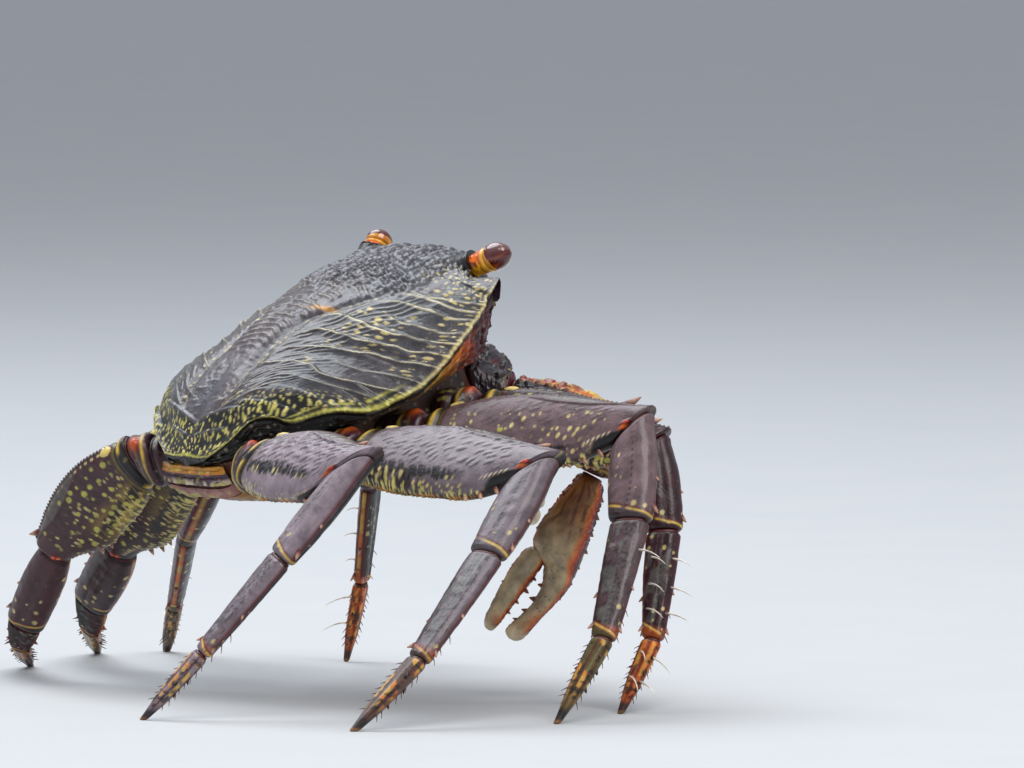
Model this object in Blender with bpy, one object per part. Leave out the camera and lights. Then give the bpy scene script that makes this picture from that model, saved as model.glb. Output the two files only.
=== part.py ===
"""A thin-shelled rock crab (Grapsus tenuicrustatus), life size and still, standing on its eight legs.

The body is drawn in its own frame, in units of the carapace's width: x to the crab's right, y forward and
z to its back. The world has +Z up, the crab's nose to -Y and its right side to -X. Lengths are in metres.
"""

import math

import bmesh
import bpy
import numpy as np

# Driving dimensions, in metres and degrees
WIDTH = 0.070
GAP = 0.0003
NOSE_UP = 22.0
BODY_HEIGHT = 0.065
MM = 0.001

# The edge of the carapace on one side, from the back to the tooth outside the eye, in carapace widths
MARGIN = [
    (0.100, -0.462, -0.133),
    (0.195, -0.420, -0.088),
    (0.250, -0.372, -0.052),
    (0.297, -0.335, -0.058),
    (0.330, -0.309, -0.082),
    (0.400, -0.228, -0.085),
    (0.450, -0.147, -0.118),
    (0.475, -0.080, -0.117),
    (0.485, -0.010, -0.113),
    (0.485, 0.065, -0.092),
    (0.470, 0.155, -0.058),
    (0.445, 0.246, -0.024),
    (0.420, 0.315, 0.008),
    (0.400, 0.370, 0.030),
]
# The midline of the back, at the same steps from the back forward
MIDLINE = [
    (0.0, -0.465, -0.138),
    (0.0, -0.452, -0.120),
    (0.0, -0.435, -0.098),
    (0.0, -0.415, -0.078),
    (0.0, -0.395, -0.060),
    (0.0, -0.345, -0.022),
    (0.0, -0.285, 0.018),
    (0.0, -0.235, 0.043),
    (0.0, -0.180, 0.066),
    (0.0, -0.110, 0.087),
    (0.0, -0.020, 0.103),
    (0.0, 0.120, 0.119),
    (0.0, 0.280, 0.112),
    (0.0, 0.440, 0.068),
]
ROW_BEND = 1.4
# How flat the back is across: its power, what the rear adds to it, and where
DOME_POWER = 2.1
REAR_FLATNESS = (2.5, 0.30, 0.22)
# The swollen branchial regions: rise, middle along the shell and spread
BRANCHIAL_RISE = (0.035, 0.32, 0.16)
# Striae that run in from the side margins and those across the middle, by their place along the shell
SIDE_STRIAE = [0.335, 0.395, 0.455, 0.510, 0.575, 0.635, 0.690, 0.735, 0.772, 0.812, 0.845, 0.880]
MIDDLE_STRIAE = [0.690, 0.735, 0.753, 0.772, 0.792, 0.812, 0.829, 0.845, 0.862, 0.880, 0.900, 0.920]
STRIA_RISE = 0.0085
STRIA_STEEP = 0.007
STRIA_TAIL = 0.040
PLAIN_ROWS = [0.0, 0.070, 0.140, 0.200, 0.250, 0.290, 0.913, 0.940, 0.955, 0.970, 0.985, 1.0]
HALF_COLUMNS = [0.0, 0.11, 0.21, 0.31, 0.42, 0.53, 0.64, 0.75, 0.85, 0.94, 1.0]
# The groove beside the middle regions: place along the shell, and place across it
GROOVE = [
    (0.30, 0.240), (0.40, 0.240), (0.50, 0.215), (0.60, 0.190), (0.68, 0.205),
    (0.73, 0.230), (0.76, 0.310), (0.80, 0.430), (0.85, 0.620),
]
GROOVE_ENDS = (0.28, 0.34, 0.78, 0.84)
GROOVE_DEPTH = 0.008
GROOVE_WIDTH = 0.060
# The notch behind the tooth outside the eye
NOTCH = (0.011, 0.912, 0.010)
MARGIN_SAW = 0.006
# Four low lobes behind the front: their distances from the midline, their widths, rise, place and spread
LOBES = ((0.065, 0.040), (0.190, 0.050))
LOBE_RISE = (0.012, 0.955, 0.025)
SHELL_FLOOR = -0.150
FLOOR_ENDS = (-0.44, 0.34)
FLOOR_SLIP = 0.02
FACE_Y = 0.360
# The flank under the margin: how far a point of its wall and its lower rim stand in, and the wall's drop
WALL_INSET = (0.050, 0.80)
WALL_DROP = (0.55, 0.65)
RIM_INSET = (0.095, 0.62)
# Where along the shell the flank turns into the face, and how far its wall and its corner then stand back
FLANK_TURN = (0.75, 1.0)
FACE_INSET = (0.012, 0.045)
FACE_CORNER = 0.055
# Rows down the face: how far down, forward and back, and the drop of their outer ends
FACE_ROWS = ((0.026, 0.022, 0.000, 0.010), (0.063, 0.032, 0.006, 0.024), (0.105, 0.018, 0.016, 0.044))
FACE_RISE = 0.005
EYE_SOCKET = 0.80
EYE_SOCKET_WIDTH = 0.13
EYE_SOCKET_DEPTH = 0.055
FRONT_HALF = 0.224
# Rows of round tubercles on the front: place along the shell, and distances from the midline
TUBERCLE_ROWS = [
    (0.930, (0.060, 0.125, 0.190)),
    (0.950, (0.030, 0.095, 0.160, 0.220)),
    (0.972, (0.065, 0.125, 0.190)),
    (0.992, (0.035, 0.100, 0.160)),
]
NEAR = 0.01
TUBERCLE = dict(length=0.55, radius=1.15, root=0.8, tip=0.6, sides=6)

# The thorax in plan: the corners between one leg's facet and the next, and how deep its belly hangs
FACET_CORNERS = [
    (0.150, 0.360),
    (0.270, 0.235),
    (0.315, 0.060),
    (0.312, -0.120),
    (0.262, -0.300),
    (0.135, -0.440),
]
BELLY = [(-0.440, -0.240), (-0.300, -0.285), (-0.100, -0.320), (0.150, -0.335), (0.360, -0.320)]
FACET_HEIGHTS = [-0.245, -0.245, -0.235, -0.212, -0.190]
# The first piece of a walking leg in millimetres: rise above its axis, drop below it, and half thickness
COXA_SHAPE = [(0.00, 4.1, 5.0, 4.9), (0.35, 3.9, 5.2, 4.7), (0.60, 4.3, 5.2, 4.4)]

# Walking legs: number, hip in carapace widths, and lengths of merus, carpus, propodus and dactylus
LEGS = {
    2: dict(hip=(0.395, 0.180, -0.268), lengths=(33.0, 17.0, 21.0, 16.0), width=13.2, size=0.88),
    3: dict(hip=(0.450, -0.020, -0.245), lengths=(39.5, 19.0, 24.5, 18.0), width=14.4, size=1.02),
    4: dict(hip=(0.430, -0.220, -0.212), lengths=(40.5, 19.5, 25.0, 18.5), width=15.2, size=1.00),
    5: dict(hip=(0.290, -0.440, -0.154), lengths=(32.0, 20.5, 22.0, 16.0), width=14.4, size=0.90),
}
# Pose of each leg: heading forward of sideways, elevation, roll of the top edge forward, bends at the
# carpus, propodus and dactylus, and the forward swing of the propodus, all in degrees
POSE = {
    ("right", 2): (45.0, -10.0, 27.0, 70.0, 11.0, 17.0, 0.0),
    ("right", 3): (40.0, 3.0, 31.0, 86.0, 8.0, 16.0, -4.0),
    ("right", 4): (21.0, -2.0, 42.0, 92.0, 1.0, 12.0, -3.0),
    ("right", 5): (3.0, 2.0, 35.0, 111.0, 0.0, 4.0, -1.0),
    ("left", 2): (48.0, -8.0, 14.0, 46.0, 16.0, 15.0, 1.0),
    ("left", 3): (21.0, -19.0, 20.0, 17.0, 0.0, 0.0, 8.0),
    ("left", 4): (10.0, -33.0, -43.0, 1.0, 0.0, 7.0, 25.0),
    ("left", 5): (-5.0, -36.0, -47.0, 12.0, 1.0, 11.0, 34.0),
}
# Half heights above and below a merus's axis, and its half thickness, against its width, along its length
MERUS_SHAPE = [
    (0.00, 0.30, 0.28, 0.20),
    (0.10, 0.38, 0.36, 0.20),
    (0.28, 0.49, 0.46, 0.19),
    (0.50, 0.52, 0.48, 0.19),
    (0.74, 0.45, 0.44, 0.19),
    (0.88, 0.37, 0.26, 0.19),
    (1.00, 0.30, 0.17, 0.18),
]
# Height and thickness of the lower segments in millimetres, for a leg of size 1
CARPUS_SHAPE = [(0.00, 6.6, 5.4), (0.25, 8.2, 5.6), (0.65, 8.6, 5.2), (1.00, 7.8, 4.2)]
PROPODUS_SHAPE = [(0.00, 7.0, 3.8), (0.35, 6.6, 3.6), (0.75, 5.4, 3.2), (1.00, 4.6, 3.0)]
DACTYLUS_SHAPE = [(0.0, 3.9, 2.9), (0.3, 3.5, 2.7), (0.65, 2.6, 2.2), (0.88, 1.6, 1.5), (1.0, 1.1, 1.1)]
LEG_SIDES = 10
LOWER_SIDES = 8
LEAST_STEP = 0.02
# How square the limbs are in section: powers of the cosine and the sine of a plain ellipse
OVAL_EDGE = 0.92
OVAL_FACE = 0.80

# What grows on the legs: place along the segment, turn from its top edge to the rear in degrees, length,
# radius, and lean towards the tip, in millimetres
MERUS_THORNS = [
    (0.945, 0, 2.3, 1.05, 1.3),
    (0.78, 0, 0.6, 0.65, 0.8),
    (0.60, 0, 0.5, 0.65, 0.8),
    (0.42, 0, 0.5, 0.65, 0.8),
    (0.70, 178, 1.0, 0.70, 0.7),
    (0.77, 178, 1.3, 0.75, 0.7),
    (0.84, 178, 1.5, 0.80, 0.7),
]
CARPUS_THORNS = [(0.86, 0, 1.3, 0.80, 1.2), (0.55, 0, 0.6, 0.60, 0.8)]
PROPODUS_THORNS = [
    (0.90, 0, 1.1, 0.65, 1.2),
    (0.55, 0, 0.7, 0.55, 1.0),
    (0.62, 180, 0.9, 0.55, 0.9),
    (0.90, 150, 1.2, 0.60, 1.1),
    (0.90, 210, 1.2, 0.60, 1.1),
]
DACTYLUS_THORNS = [
    (0.20, 35, 0.8, 0.48, 0.9),
    (0.42, 35, 0.7, 0.45, 0.9),
    (0.62, 35, 0.6, 0.40, 0.9),
    (0.32, -45, 0.7, 0.46, 0.9),
    (0.54, -45, 0.6, 0.42, 0.9),
    (0.36, 180, 0.7, 0.45, 0.9),
]
# The rounded condyles at a knee: turn from the top edge, length, radius and radius of their end
KNEE = dict(place=0.93, turns=(105, -105), length=0.55, radius=1.5, tip=0.9)
# Raised striae over the rear face of a merus: places of their middles, their turns from the top edge and
# how far each leans, and in millimetres half their width, their rise and their depth below the skin
MERUS_STRIAE = [0.24, 0.40, 0.56, 0.72]
MERUS_STRIA = dict(turns=(48, 78, 112), lean=0.035, half=0.5, rise=0.35, root=0.5)
THORN_ROOT = 0.7
THORN_TIP = 0.27
THORN_SIDES = 4
SIZE_SPREAD = 0.12
SEED = 11

# Claw arms: hip, elbow and wrist, in metres from the body's centre, the line to the claw's tips, and the
# side on which its movable finger lies
ARMS = {
    "right": dict(
        hip=(-0.0196, -0.0306, -0.0103),
        elbow=(-0.0327, -0.0432, -0.0159),
        wrist=(-0.0308, -0.0410, -0.0244),
        point=(0.217, 0.434, -0.877),
        thumb=(0.487, 0.731, 0.482),
    ),
    "left": dict(
        hip=(0.0196, -0.0306, -0.0103),
        elbow=(0.0250, -0.0490, -0.0060),
        wrist=(0.0165, -0.0500, -0.0112),
        point=(-0.720, 0.200, -0.660),
        thumb=(-0.634, 0.176, 0.753),
    ),
}
# Palm and fixed finger in millimetres along their length: upper edge, lower edge and half thickness
PALM_SHAPE = [
    (0.0, 2.0, -2.4, 2.6),
    (3.0, 2.6, -3.6, 3.2),
    (8.0, 3.5, -4.8, 3.8),
    (13.5, 4.1, -5.7, 3.9),
    (17.2, 3.7, -6.1, 3.4),
    (17.4, -0.3, -6.1, 3.1),
    (19.3, -0.7, -6.2, 2.9),
    (21.5, -1.6, -5.9, 2.5),
    (25.0, -1.7, -5.0, 2.1),
    (29.0, -0.7, -4.0, 1.8),
    (32.0, 0.2, -3.2, 1.5),
    (33.2, -0.4, -2.6, 0.9),
]
# The movable finger: upper edge, lower edge and half thickness
FINGER_SHAPE = [
    (0.0, 1.6, -1.6, 2.1),
    (3.0, 2.3, -1.8, 2.2),
    (7.0, 2.4, -1.6, 2.0),
    (11.0, 2.1, -1.2, 1.8),
    (14.5, 1.7, -0.9, 1.5),
    (16.0, 0.9, -0.4, 0.9),
]
FINGER_ROOT = (17.7, 2.0)
FINGER_TURN = 3.0
CLAW_SIDES = 10
# Tubercles and teeth of the claws, as on the legs but with places in millimetres along palm and finger
PALM_THORNS = [
    (3.0, 180, 0.6, 0.70, 0.3),
    (6.2, 180, 0.6, 0.70, 0.3),
    (9.4, 180, 0.6, 0.70, 0.3),
    (12.6, 180, 0.6, 0.70, 0.3),
    (15.8, 180, 0.6, 0.70, 0.3),
    (19.0, 180, 0.5, 0.65, 0.3),
    (22.4, 180, 0.5, 0.60, 0.3),
    (5.0, 0, 0.6, 0.65, 0.3),
    (9.0, 0, 0.6, 0.65, 0.3),
    (13.0, 0, 0.6, 0.65, 0.3),
    (21.8, 0, 0.8, 0.70, 0.2),
    (24.6, 0, 1.1, 0.80, 0.2),
    (27.2, 0, 0.7, 0.60, 0.2),
    (29.4, 0, 0.6, 0.50, 0.2),
]
FINGER_THORNS = [
    (3.6, 180, 0.5, 0.60, 0.2),
    (6.2, 180, 0.8, 0.70, 0.2),
    (8.8, 180, 0.7, 0.60, 0.2),
    (11.2, 180, 0.5, 0.50, 0.2),
    (3.5, 0, 0.4, 0.55, 0.3),
    (7.0, 0, 0.4, 0.50, 0.3),
]
ARM_MERUS_THORNS = [
    (0.30, 0, 0.5, 0.60, 0.4),
    (0.50, 0, 0.5, 0.60, 0.4),
    (0.70, 0, 0.6, 0.65, 0.4),
    (0.45, 180, 0.9, 0.70, 0.6),
    (0.62, 180, 1.1, 0.75, 0.6),
]
ARM_CARPUS_BUMPS = [(0.30, 40, 0.5, 0.65, 0.2), (0.45, -35, 0.5, 0.65, 0.2), (0.62, 15, 0.5, 0.60, 0.2)]
ARM_COXA_SHAPE = [(0.0, 4.0, 4.0, 4.0), (0.5, 3.7, 3.7, 3.6), (1.0, 3.6, 3.6, 3.4)]
ARM_MERUS_SHAPE = [(0.0, 3.5, 3.5, 3.2), (0.3, 4.6, 4.6, 3.6), (0.7, 4.9, 4.9, 3.8), (1.0, 4.2, 4.2, 3.4)]
ARM_CARPUS_SHAPE = [(0.0, 4.0, 4.0, 3.6), (0.3, 4.9, 4.9, 4.6), (0.7, 4.6, 4.6, 4.4), (1.0, 3, 3, 3)]
ARM_SPINE = dict(length=3.2, radius=1.3, root=1.5, tip=0.3)
ARM_SPINE_TOWARDS = (0.55, -0.40, -0.73)

# Eyestalks: root and tip in carapace widths, for the crab's right and left
EYES = {
    "right": dict(root=(0.235, 0.362, 0.045), tip=(0.372, 0.436, 0.078)),
    "left": dict(root=(-0.235, 0.362, 0.045), tip=(-0.262, 0.452, 0.100)),
}
STALK_RADIUS = 2.2 * MM
# Place along the eye and radius, against the stalk's own
STALK_SHAPE = [(0.0, 0.86), (0.29, 0.92), (0.49, 1.02), (0.58, 1.08)]
CORNEA_SHAPE = [(0.58, 1.08), (0.68, 1.16), (0.80, 1.08), (0.91, 0.78), (1.0, 0.30)]
EYE_SIDES = 12
SOCKET_ROOM = 1.0 * MM
SOCKET_REACH = 10.0 * MM

# Face: mouthparts as two plates before the thorax
MOUTHPART = dict(inner=0.012, outer=0.135, low=-0.315, high=-0.165, thick=0.036)

# Abdomen: midline of its band under the thorax and its half width, in carapace widths, and its thickness
ABDOMEN = [
    (-0.4470, -0.1570, 0.148, 1.0),
    (-0.4490, -0.1760, 0.156, 1.2),
    (-0.4495, -0.1800, 0.160, 0.9),
    (-0.4480, -0.2030, 0.168, 1.2),
    (-0.4470, -0.2070, 0.170, 0.9),
    (-0.4280, -0.2330, 0.170, 1.2),
    (-0.4240, -0.2360, 0.168, 0.9),
    (-0.3700, -0.2640, 0.160, 1.1),
    (-0.3100, -0.2950, 0.150, 1.0),
    (-0.2000, -0.3220, 0.135, 1.1),
    (-0.1000, -0.3400, 0.110, 1.0),
    (0.0000, -0.3500, 0.080, 1.1),
    (0.0800, -0.3560, 0.050, 1.0),
    (0.1500, -0.3600, 0.020, 0.9),
]
ABDOMEN_THICKNESS = 0.022

COLOURS = {
    "shell": (0.10, 0.11, 0.12, 1.0),
    "leg": (0.20, 0.13, 0.15, 1.0),
    "claw": (0.62, 0.50, 0.33, 1.0),
    "underside": (0.55, 0.42, 0.16, 1.0),
    "eye": (0.10, 0.02, 0.01, 1.0),
    "stalk": (0.80, 0.25, 0.04, 1.0),
}

NOSE = math.radians(NOSE_UP)
RIGHT = np.array([-1.0, 0.0, 0.0])
FORWARD = np.array([0.0, -math.cos(NOSE), math.sin(NOSE)])
DORSAL = np.array([0.0, math.sin(NOSE), math.cos(NOSE)])
UP = np.array([0.0, 0.0, 1.0])
CENTRE = np.array([0.0, 0.0, BODY_HEIGHT])


def unit(vector):
    return vector / np.linalg.norm(vector)


def body(x, y, z):
    """World point of a place in the body's own frame, given in carapace widths."""
    return CENTRE + WIDTH * (x * RIGHT + y * FORWARD + z * DORSAL)


def body_direction(x, y, z):
    return unit(x * RIGHT + y * FORWARD + z * DORSAL)


def along(points, t):
    """Point at t from 0 to 1 on a smooth curve through evenly spaced control points."""
    points = np.asarray(points, float)
    last = len(points) - 1
    place = min(max(t, 0.0), 1.0) * last
    i = min(int(place), last - 1)
    f = place - i
    a, b = points[max(i - 1, 0)], points[i]
    c, d = points[i + 1], points[min(i + 2, last)]
    square, cube = 2 * a - 5 * b + 4 * c - d, 3 * b - a - 3 * c + d
    return 0.5 * (2 * b + (c - a) * f + square * f**2 + cube * f**3)


def between(table, s):
    """Row of a table at s, its first column, with straight lines between the rows given."""
    table = np.asarray(table, float)
    return np.array([np.interp(s, table[:, 0], table[:, i]) for i in range(1, table.shape[1])])


def material(name):
    made = bpy.data.materials.get(name)
    if made is None:
        made = bpy.data.materials.new(name)
        made.use_nodes = True
        shader = made.node_tree.nodes["Principled BSDF"]
        shader.inputs["Base Color"].default_value = COLOURS[name]
        shader.inputs["Roughness"].default_value = 0.3
        shader.inputs["Metallic"].default_value = 0.0
    return made


def add_object(name, points, faces, finish):
    """A mesh object of these world points, with its faces turned outwards."""
    mesh = bpy.data.meshes.new(name)
    mesh.from_pydata([tuple(p) for p in points], [], faces)
    shape = bmesh.new()
    shape.from_mesh(mesh)
    bmesh.ops.triangulate(shape, faces=shape.faces[:])
    bmesh.ops.recalc_face_normals(shape, faces=shape.faces[:])
    shape.to_mesh(mesh)
    shape.free()
    obj = bpy.data.objects.new(name, mesh)
    bpy.context.scene.collection.objects.link(obj)
    mesh.materials.append(material(finish))
    return obj


def loft(name, rings, finish):
    """A closed skin through rings that have the same number of points, with flat ends."""
    count = len(rings[0])
    points = np.concatenate(rings)
    faces = []
    for r in range(len(rings) - 1):
        for j in range(count):
            k = (j + 1) % count
            faces.append((r * count + j, r * count + k, (r + 1) * count + k, (r + 1) * count + j))
    faces.append(tuple(range(count))[::-1])
    faces.append(tuple((len(rings) - 1) * count + j for j in range(count)))
    return add_object(name, points, faces, finish)


def onto_plane(points, axis, point, normal):
    """The points slid along an axis onto a plane."""
    return points + np.outer((point - points) @ normal / (axis @ normal), axis)


def oval(centre, up, across, high, low, thick, sides, edge=OVAL_EDGE, face=OVAL_FACE):
    """A ring with its top at `high` along up, its bottom at `low`, and a half thickness across."""
    turn = np.arange(sides) * 2 * math.pi / sides
    middle, half = (high + low) / 2, (high - low) / 2
    rise = np.sign(np.cos(turn)) * np.abs(np.cos(turn)) ** edge
    side = np.sign(np.sin(turn)) * np.abs(np.sin(turn)) ** face
    return centre + np.outer(middle + half * rise, up) + np.outer(thick * side, across)


class Limb:
    """A limb segment that has been built, and places on its skin for what grows there."""

    def __init__(self, obj, start, end, up, across, shape):
        self.obj, self.start, self.run = obj, start, end - start
        self.up, self.across, self.shape = up, across, shape

    def place(self, s, turn):
        """Point of the skin at s along the segment, turned from its top edge, and the way out of it."""
        high, low, thick = self.shape(s)
        angle = math.radians(turn)
        rise = math.copysign(abs(math.cos(angle)) ** OVAL_EDGE, math.cos(angle))
        side = math.copysign(abs(math.sin(angle)) ** OVAL_FACE, math.sin(angle))
        middle, half = (high + low) / 2, (high - low) / 2
        point = self.start + s * self.run + (middle + half * rise) * self.up + thick * side * self.across
        slope_up = math.copysign(abs(rise) ** (2 / OVAL_EDGE - 1), rise) / half
        slope_side = math.copysign(abs(side) ** (2 / OVAL_FACE - 1), side) / thick
        return point, unit(slope_up * self.up + slope_side * self.across)


def segment(name, finish, start, end, ups, shape, sides, cuts):
    """One limb segment: ovals along its axis, with each end slid onto the plane of its joint.

    shape(s) gives the top, the bottom and the half thickness at s, and cuts the two joint planes."""
    axis = unit(end - start)
    rings = []
    for s in shape.steps:
        high, low, thick = shape(s)
        up = unit(ups[0] * (1 - s) + ups[1] * s)
        up = unit(up - (up @ axis) * axis)
        across = np.cross(axis, up)
        rings.append(oval(start + s * (end - start), up, across, high, low, thick, sides))
    trim(rings, axis, cuts)
    return Limb(loft(name, rings, finish), start, end, up, across, shape)


def trim(rings, axis, cuts):
    """Slides the end rings onto their joint planes, and keeps every other ring between them, in order."""
    (first_point, first_normal), (last_point, last_normal) = cuts
    first_point = first_point + first_normal * GAP / 2
    last_point = last_point - last_normal * GAP / 2
    last = len(rings) - 1
    for i, ring in enumerate(rings):
        low = onto_plane(ring, axis, first_point, first_normal)
        high = onto_plane(ring, axis, last_point, last_normal)
        if i == 0:
            rings[i] = low
        elif i == last:
            rings[i] = high
        else:
            room = (high - low) @ axis
            place = np.clip((ring - low) @ axis / room, i * LEAST_STEP, 1 - (last - i) * LEAST_STEP)
            rings[i] = low + np.outer(place * room, axis)


class Shape:
    """Half sizes along a segment, read from a table in its own units."""

    def __init__(self, table, reader):
        self.steps = [row[0] for row in table]
        self.table = table
        self.reader = reader

    def __call__(self, s):
        return self.reader(between(self.table, s))


def even_shape(table, size):
    half = size * MM / 2
    return Shape(table, lambda row: (row[0] * half, -row[0] * half, row[1] * half))


def table_shape(table, size=1.0):
    """Shape whose table holds the top, the drop below the axis and the half thickness in millimetres."""
    return Shape(table, lambda row: (row[0] * size * MM, -row[1] * size * MM, row[2] * size * MM))


def merus_shape(width):
    return table_shape(MERUS_SHAPE, width)


# Thorns, tubercles and striae


def thorn(point, towards, length, radius, root=THORN_ROOT, tip=THORN_TIP, sides=THORN_SIDES):
    """A tapered peg in millimetres, rooted below a point of a skin."""
    towards = unit(towards)
    side = unit(np.cross(towards, UP if abs(towards @ UP) < 0.9 else RIGHT))
    other = np.cross(towards, side)
    turn = np.arange(sides) * 2 * math.pi / sides
    rings = []
    for place, size in ((-root, radius), (length, tip)):
        ring = point + place * MM * towards
        rings.append(ring + size * MM * (np.outer(np.cos(turn), side) + np.outer(np.sin(turn), other)))
    return loft("thorn", rings, "shell")


def strip(points, normals, half, rise, root):
    """A low ridge in millimetres, three-sided in section, that follows points of a skin."""
    run = unit(points[-1] - points[0])
    rings = []
    for point, normal in zip(points, normals):
        side = np.cross(run, normal)
        foot = point - root * MM * normal
        crest = point + rise * MM * normal
        rings.append(np.array([foot - half * MM * side, foot + half * MM * side, crest]))
    return loft("stria", rings, "shell")


def limb_thorns(limb, table, chance, size=1.0, sign=1):
    """Thorns from a table of place, turn, length, radius and lean, each a little off its named size."""
    made = []
    axis = unit(limb.run)
    for s, turn, length, radius, lean in table:
        point, normal = limb.place(s, turn * sign)
        length *= size * (1 + chance.uniform(-SIZE_SPREAD, SIZE_SPREAD))
        made.append(thorn(point, normal + lean * axis, length, radius * size))
    return made


def merus_growths(limb, chance, size, sign):
    made = limb_thorns(limb, MERUS_THORNS, chance, size, sign)
    for turn in KNEE["turns"]:
        point, normal = limb.place(KNEE["place"], turn * sign)
        made.append(thorn(point, normal, KNEE["length"], KNEE["radius"] * size, tip=KNEE["tip"] * size))
    stria = MERUS_STRIA
    for s in MERUS_STRIAE:
        leans = np.linspace(stria["lean"], -stria["lean"], len(stria["turns"]))
        pairs = [limb.place(s + lean, turn * sign) for lean, turn in zip(leans, stria["turns"])]
        points, normals = [p[0] for p in pairs], [p[1] for p in pairs]
        made.append(strip(points, normals, stria["half"], stria["rise"], stria["root"]))
    return made


def grow(obj, pieces):
    """Joins small pieces to the node that they stand on, in one union."""
    group = bpy.data.collections.new("growths")
    bpy.context.scene.collection.children.link(group)
    for piece in pieces:
        bpy.context.scene.collection.objects.unlink(piece)
        group.objects.link(piece)
    change = obj.modifiers.new("growths", "BOOLEAN")
    change.operation = "UNION"
    change.operand_type = "COLLECTION"
    change.collection = group
    change.solver = "MANIFOLD"
    apply_changes(obj)
    for piece in pieces:
        bpy.data.objects.remove(piece)
    bpy.data.collections.remove(group)


# Carapace


def bell(value, middle, spread):
    return np.exp(-(((value - middle) / spread) ** 2))


def saw(t, crests):
    """Height from 0 to 1 of ridges with a steep front and a long slope behind, at t."""
    knots = []
    for i, crest in enumerate(crests):
        tail = min(STRIA_TAIL, crest - crests[i - 1] - STRIA_STEEP) if i else STRIA_TAIL
        knots += [(crest - tail, 0.0), (crest, 1.0), (crest + STRIA_STEEP, 0.0)]
    return np.interp(t, [k[0] for k in knots], [k[1] for k in knots])


def relief(s, t):
    """Height of the striae and the grooves over the smooth back, in carapace widths."""
    across = abs(s)
    groove = np.interp(t, [g[0] for g in GROOVE], [g[1] for g in GROOVE])
    side = np.clip((across - groove) / 0.10, 0.0, 1.0) * np.clip((1.0 - across) / 0.06, 0.25, 1.0)
    middle = np.clip((groove - across) / 0.06 + 0.5, 0.0, 1.0)
    ridges = side * saw(t, SIDE_STRIAE) + middle * (1 - side) * saw(t, MIDDLE_STRIAE)
    ends = np.interp(t, GROOVE_ENDS, (0.0, 1.0, 1.0, 0.0))
    return STRIA_RISE * ridges - GROOVE_DEPTH * ends * bell(across, groove, GROOVE_WIDTH)


def back_point(s, t):
    """Point of the back: s from -1 at the left margin to 1 at the right, t from the rear to the front."""
    edge, middle = along(MARGIN, t), along(MIDLINE, t)
    edge[0] += MARGIN_SAW * saw(t, SIDE_STRIAE) - NOTCH[0] * bell(t, *NOTCH[1:])
    across = abs(s)
    power = DOME_POWER + REAR_FLATNESS[0] * bell(t, *REAR_FLATNESS[1:])
    x = edge[0] * s
    y = middle[1] + (edge[1] - middle[1]) * across**ROW_BEND
    z = middle[2] + (edge[2] - middle[2]) * across**power
    z += BRANCHIAL_RISE[0] * bell(t, *BRANCHIAL_RISE[1:]) * 4 * across * (1 - across)
    z += LOBE_RISE[0] * bell(t, *LOBE_RISE[1:]) * sum(bell(abs(x), *lobe) for lobe in LOBES)
    y -= EYE_SOCKET_DEPTH * bell(across, EYE_SOCKET, EYE_SOCKET_WIDTH) * max(0.0, (t - 0.90) / 0.10)
    return np.array([x, y, z + relief(s, t)])


def back_row(t):
    """The points of one row over the back, from the left edge to the right. Rows follow the striae."""
    places = [-s for s in HALF_COLUMNS[:0:-1]] + HALF_COLUMNS
    return [tuple(back_point(s, t)) for s in places]


def row_places():
    crests = set(SIDE_STRIAE + MIDDLE_STRIAE)
    return sorted(crests | {c + STRIA_STEEP for c in crests} | set(PLAIN_ROWS))


def under_points(edge, y_floor, t):
    """The rest of a row's ring: down the right flank, across the shell's flat floor, and up the left."""
    x, y, z = edge
    ahead = np.interp(t, FLANK_TURN, (0.0, 1.0))
    down = WALL_DROP[0] + (WALL_DROP[1] - WALL_DROP[0]) * ahead
    wall_x = max(x - WALL_INSET[0], x * WALL_INSET[1]) - FACE_INSET[0] * ahead
    wall = (wall_x, y - FACE_INSET[1] * ahead, z + (SHELL_FLOOR - z) * down)
    rim = (max(x - RIM_INSET[0], x * RIM_INSET[1]), y_floor - FACE_CORNER * ahead, SHELL_FLOOR)
    right = [wall, rim]
    left = [(-p[0], p[1], p[2]) for p in right]
    return right + [(0.0, y_floor, SHELL_FLOOR)] + left[::-1]


def front_rows(last_row):
    """Rows that carry the edge of the front down over the face."""
    rows = []
    for down, forward, back, outer in FACE_ROWS:
        row = []
        for x, y, z in last_row:
            inside = abs(x) < FRONT_HALF
            row.append((x, y + forward, z - down) if inside else (x, y - back, z - outer))
        rows.append(row)
    return rows


def add_carapace():
    rings = []
    for t in row_places():
        row = back_row(t)
        y_floor = np.clip(row[-1][1], *FLOOR_ENDS) - FLOOR_SLIP * (1 - t)
        rings.append(row + under_points(row[-1], y_floor, t))
    last_row = back_row(1.0)
    for i, row in enumerate(front_rows(last_row)):
        rings.append(row + under_points(row[-1], FACE_Y + FACE_RISE * (i - 2), 1.0))
    world = [np.array([body(*p) for p in ring]) for ring in rings]
    count, top = len(world[0]), 2 * len(HALF_COLUMNS) - 1
    points = np.concatenate(world)
    faces = []
    for r in range(len(world) - 1):
        for j in range(count):
            k = (j + 1) % count
            faces.append((r * count + j, r * count + k, (r + 1) * count + k, (r + 1) * count + j))
    for r in (0, len(world) - 1):
        faces += cap(r * count, top, count)
    return add_object("carapace", points, faces, "shell")


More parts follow.
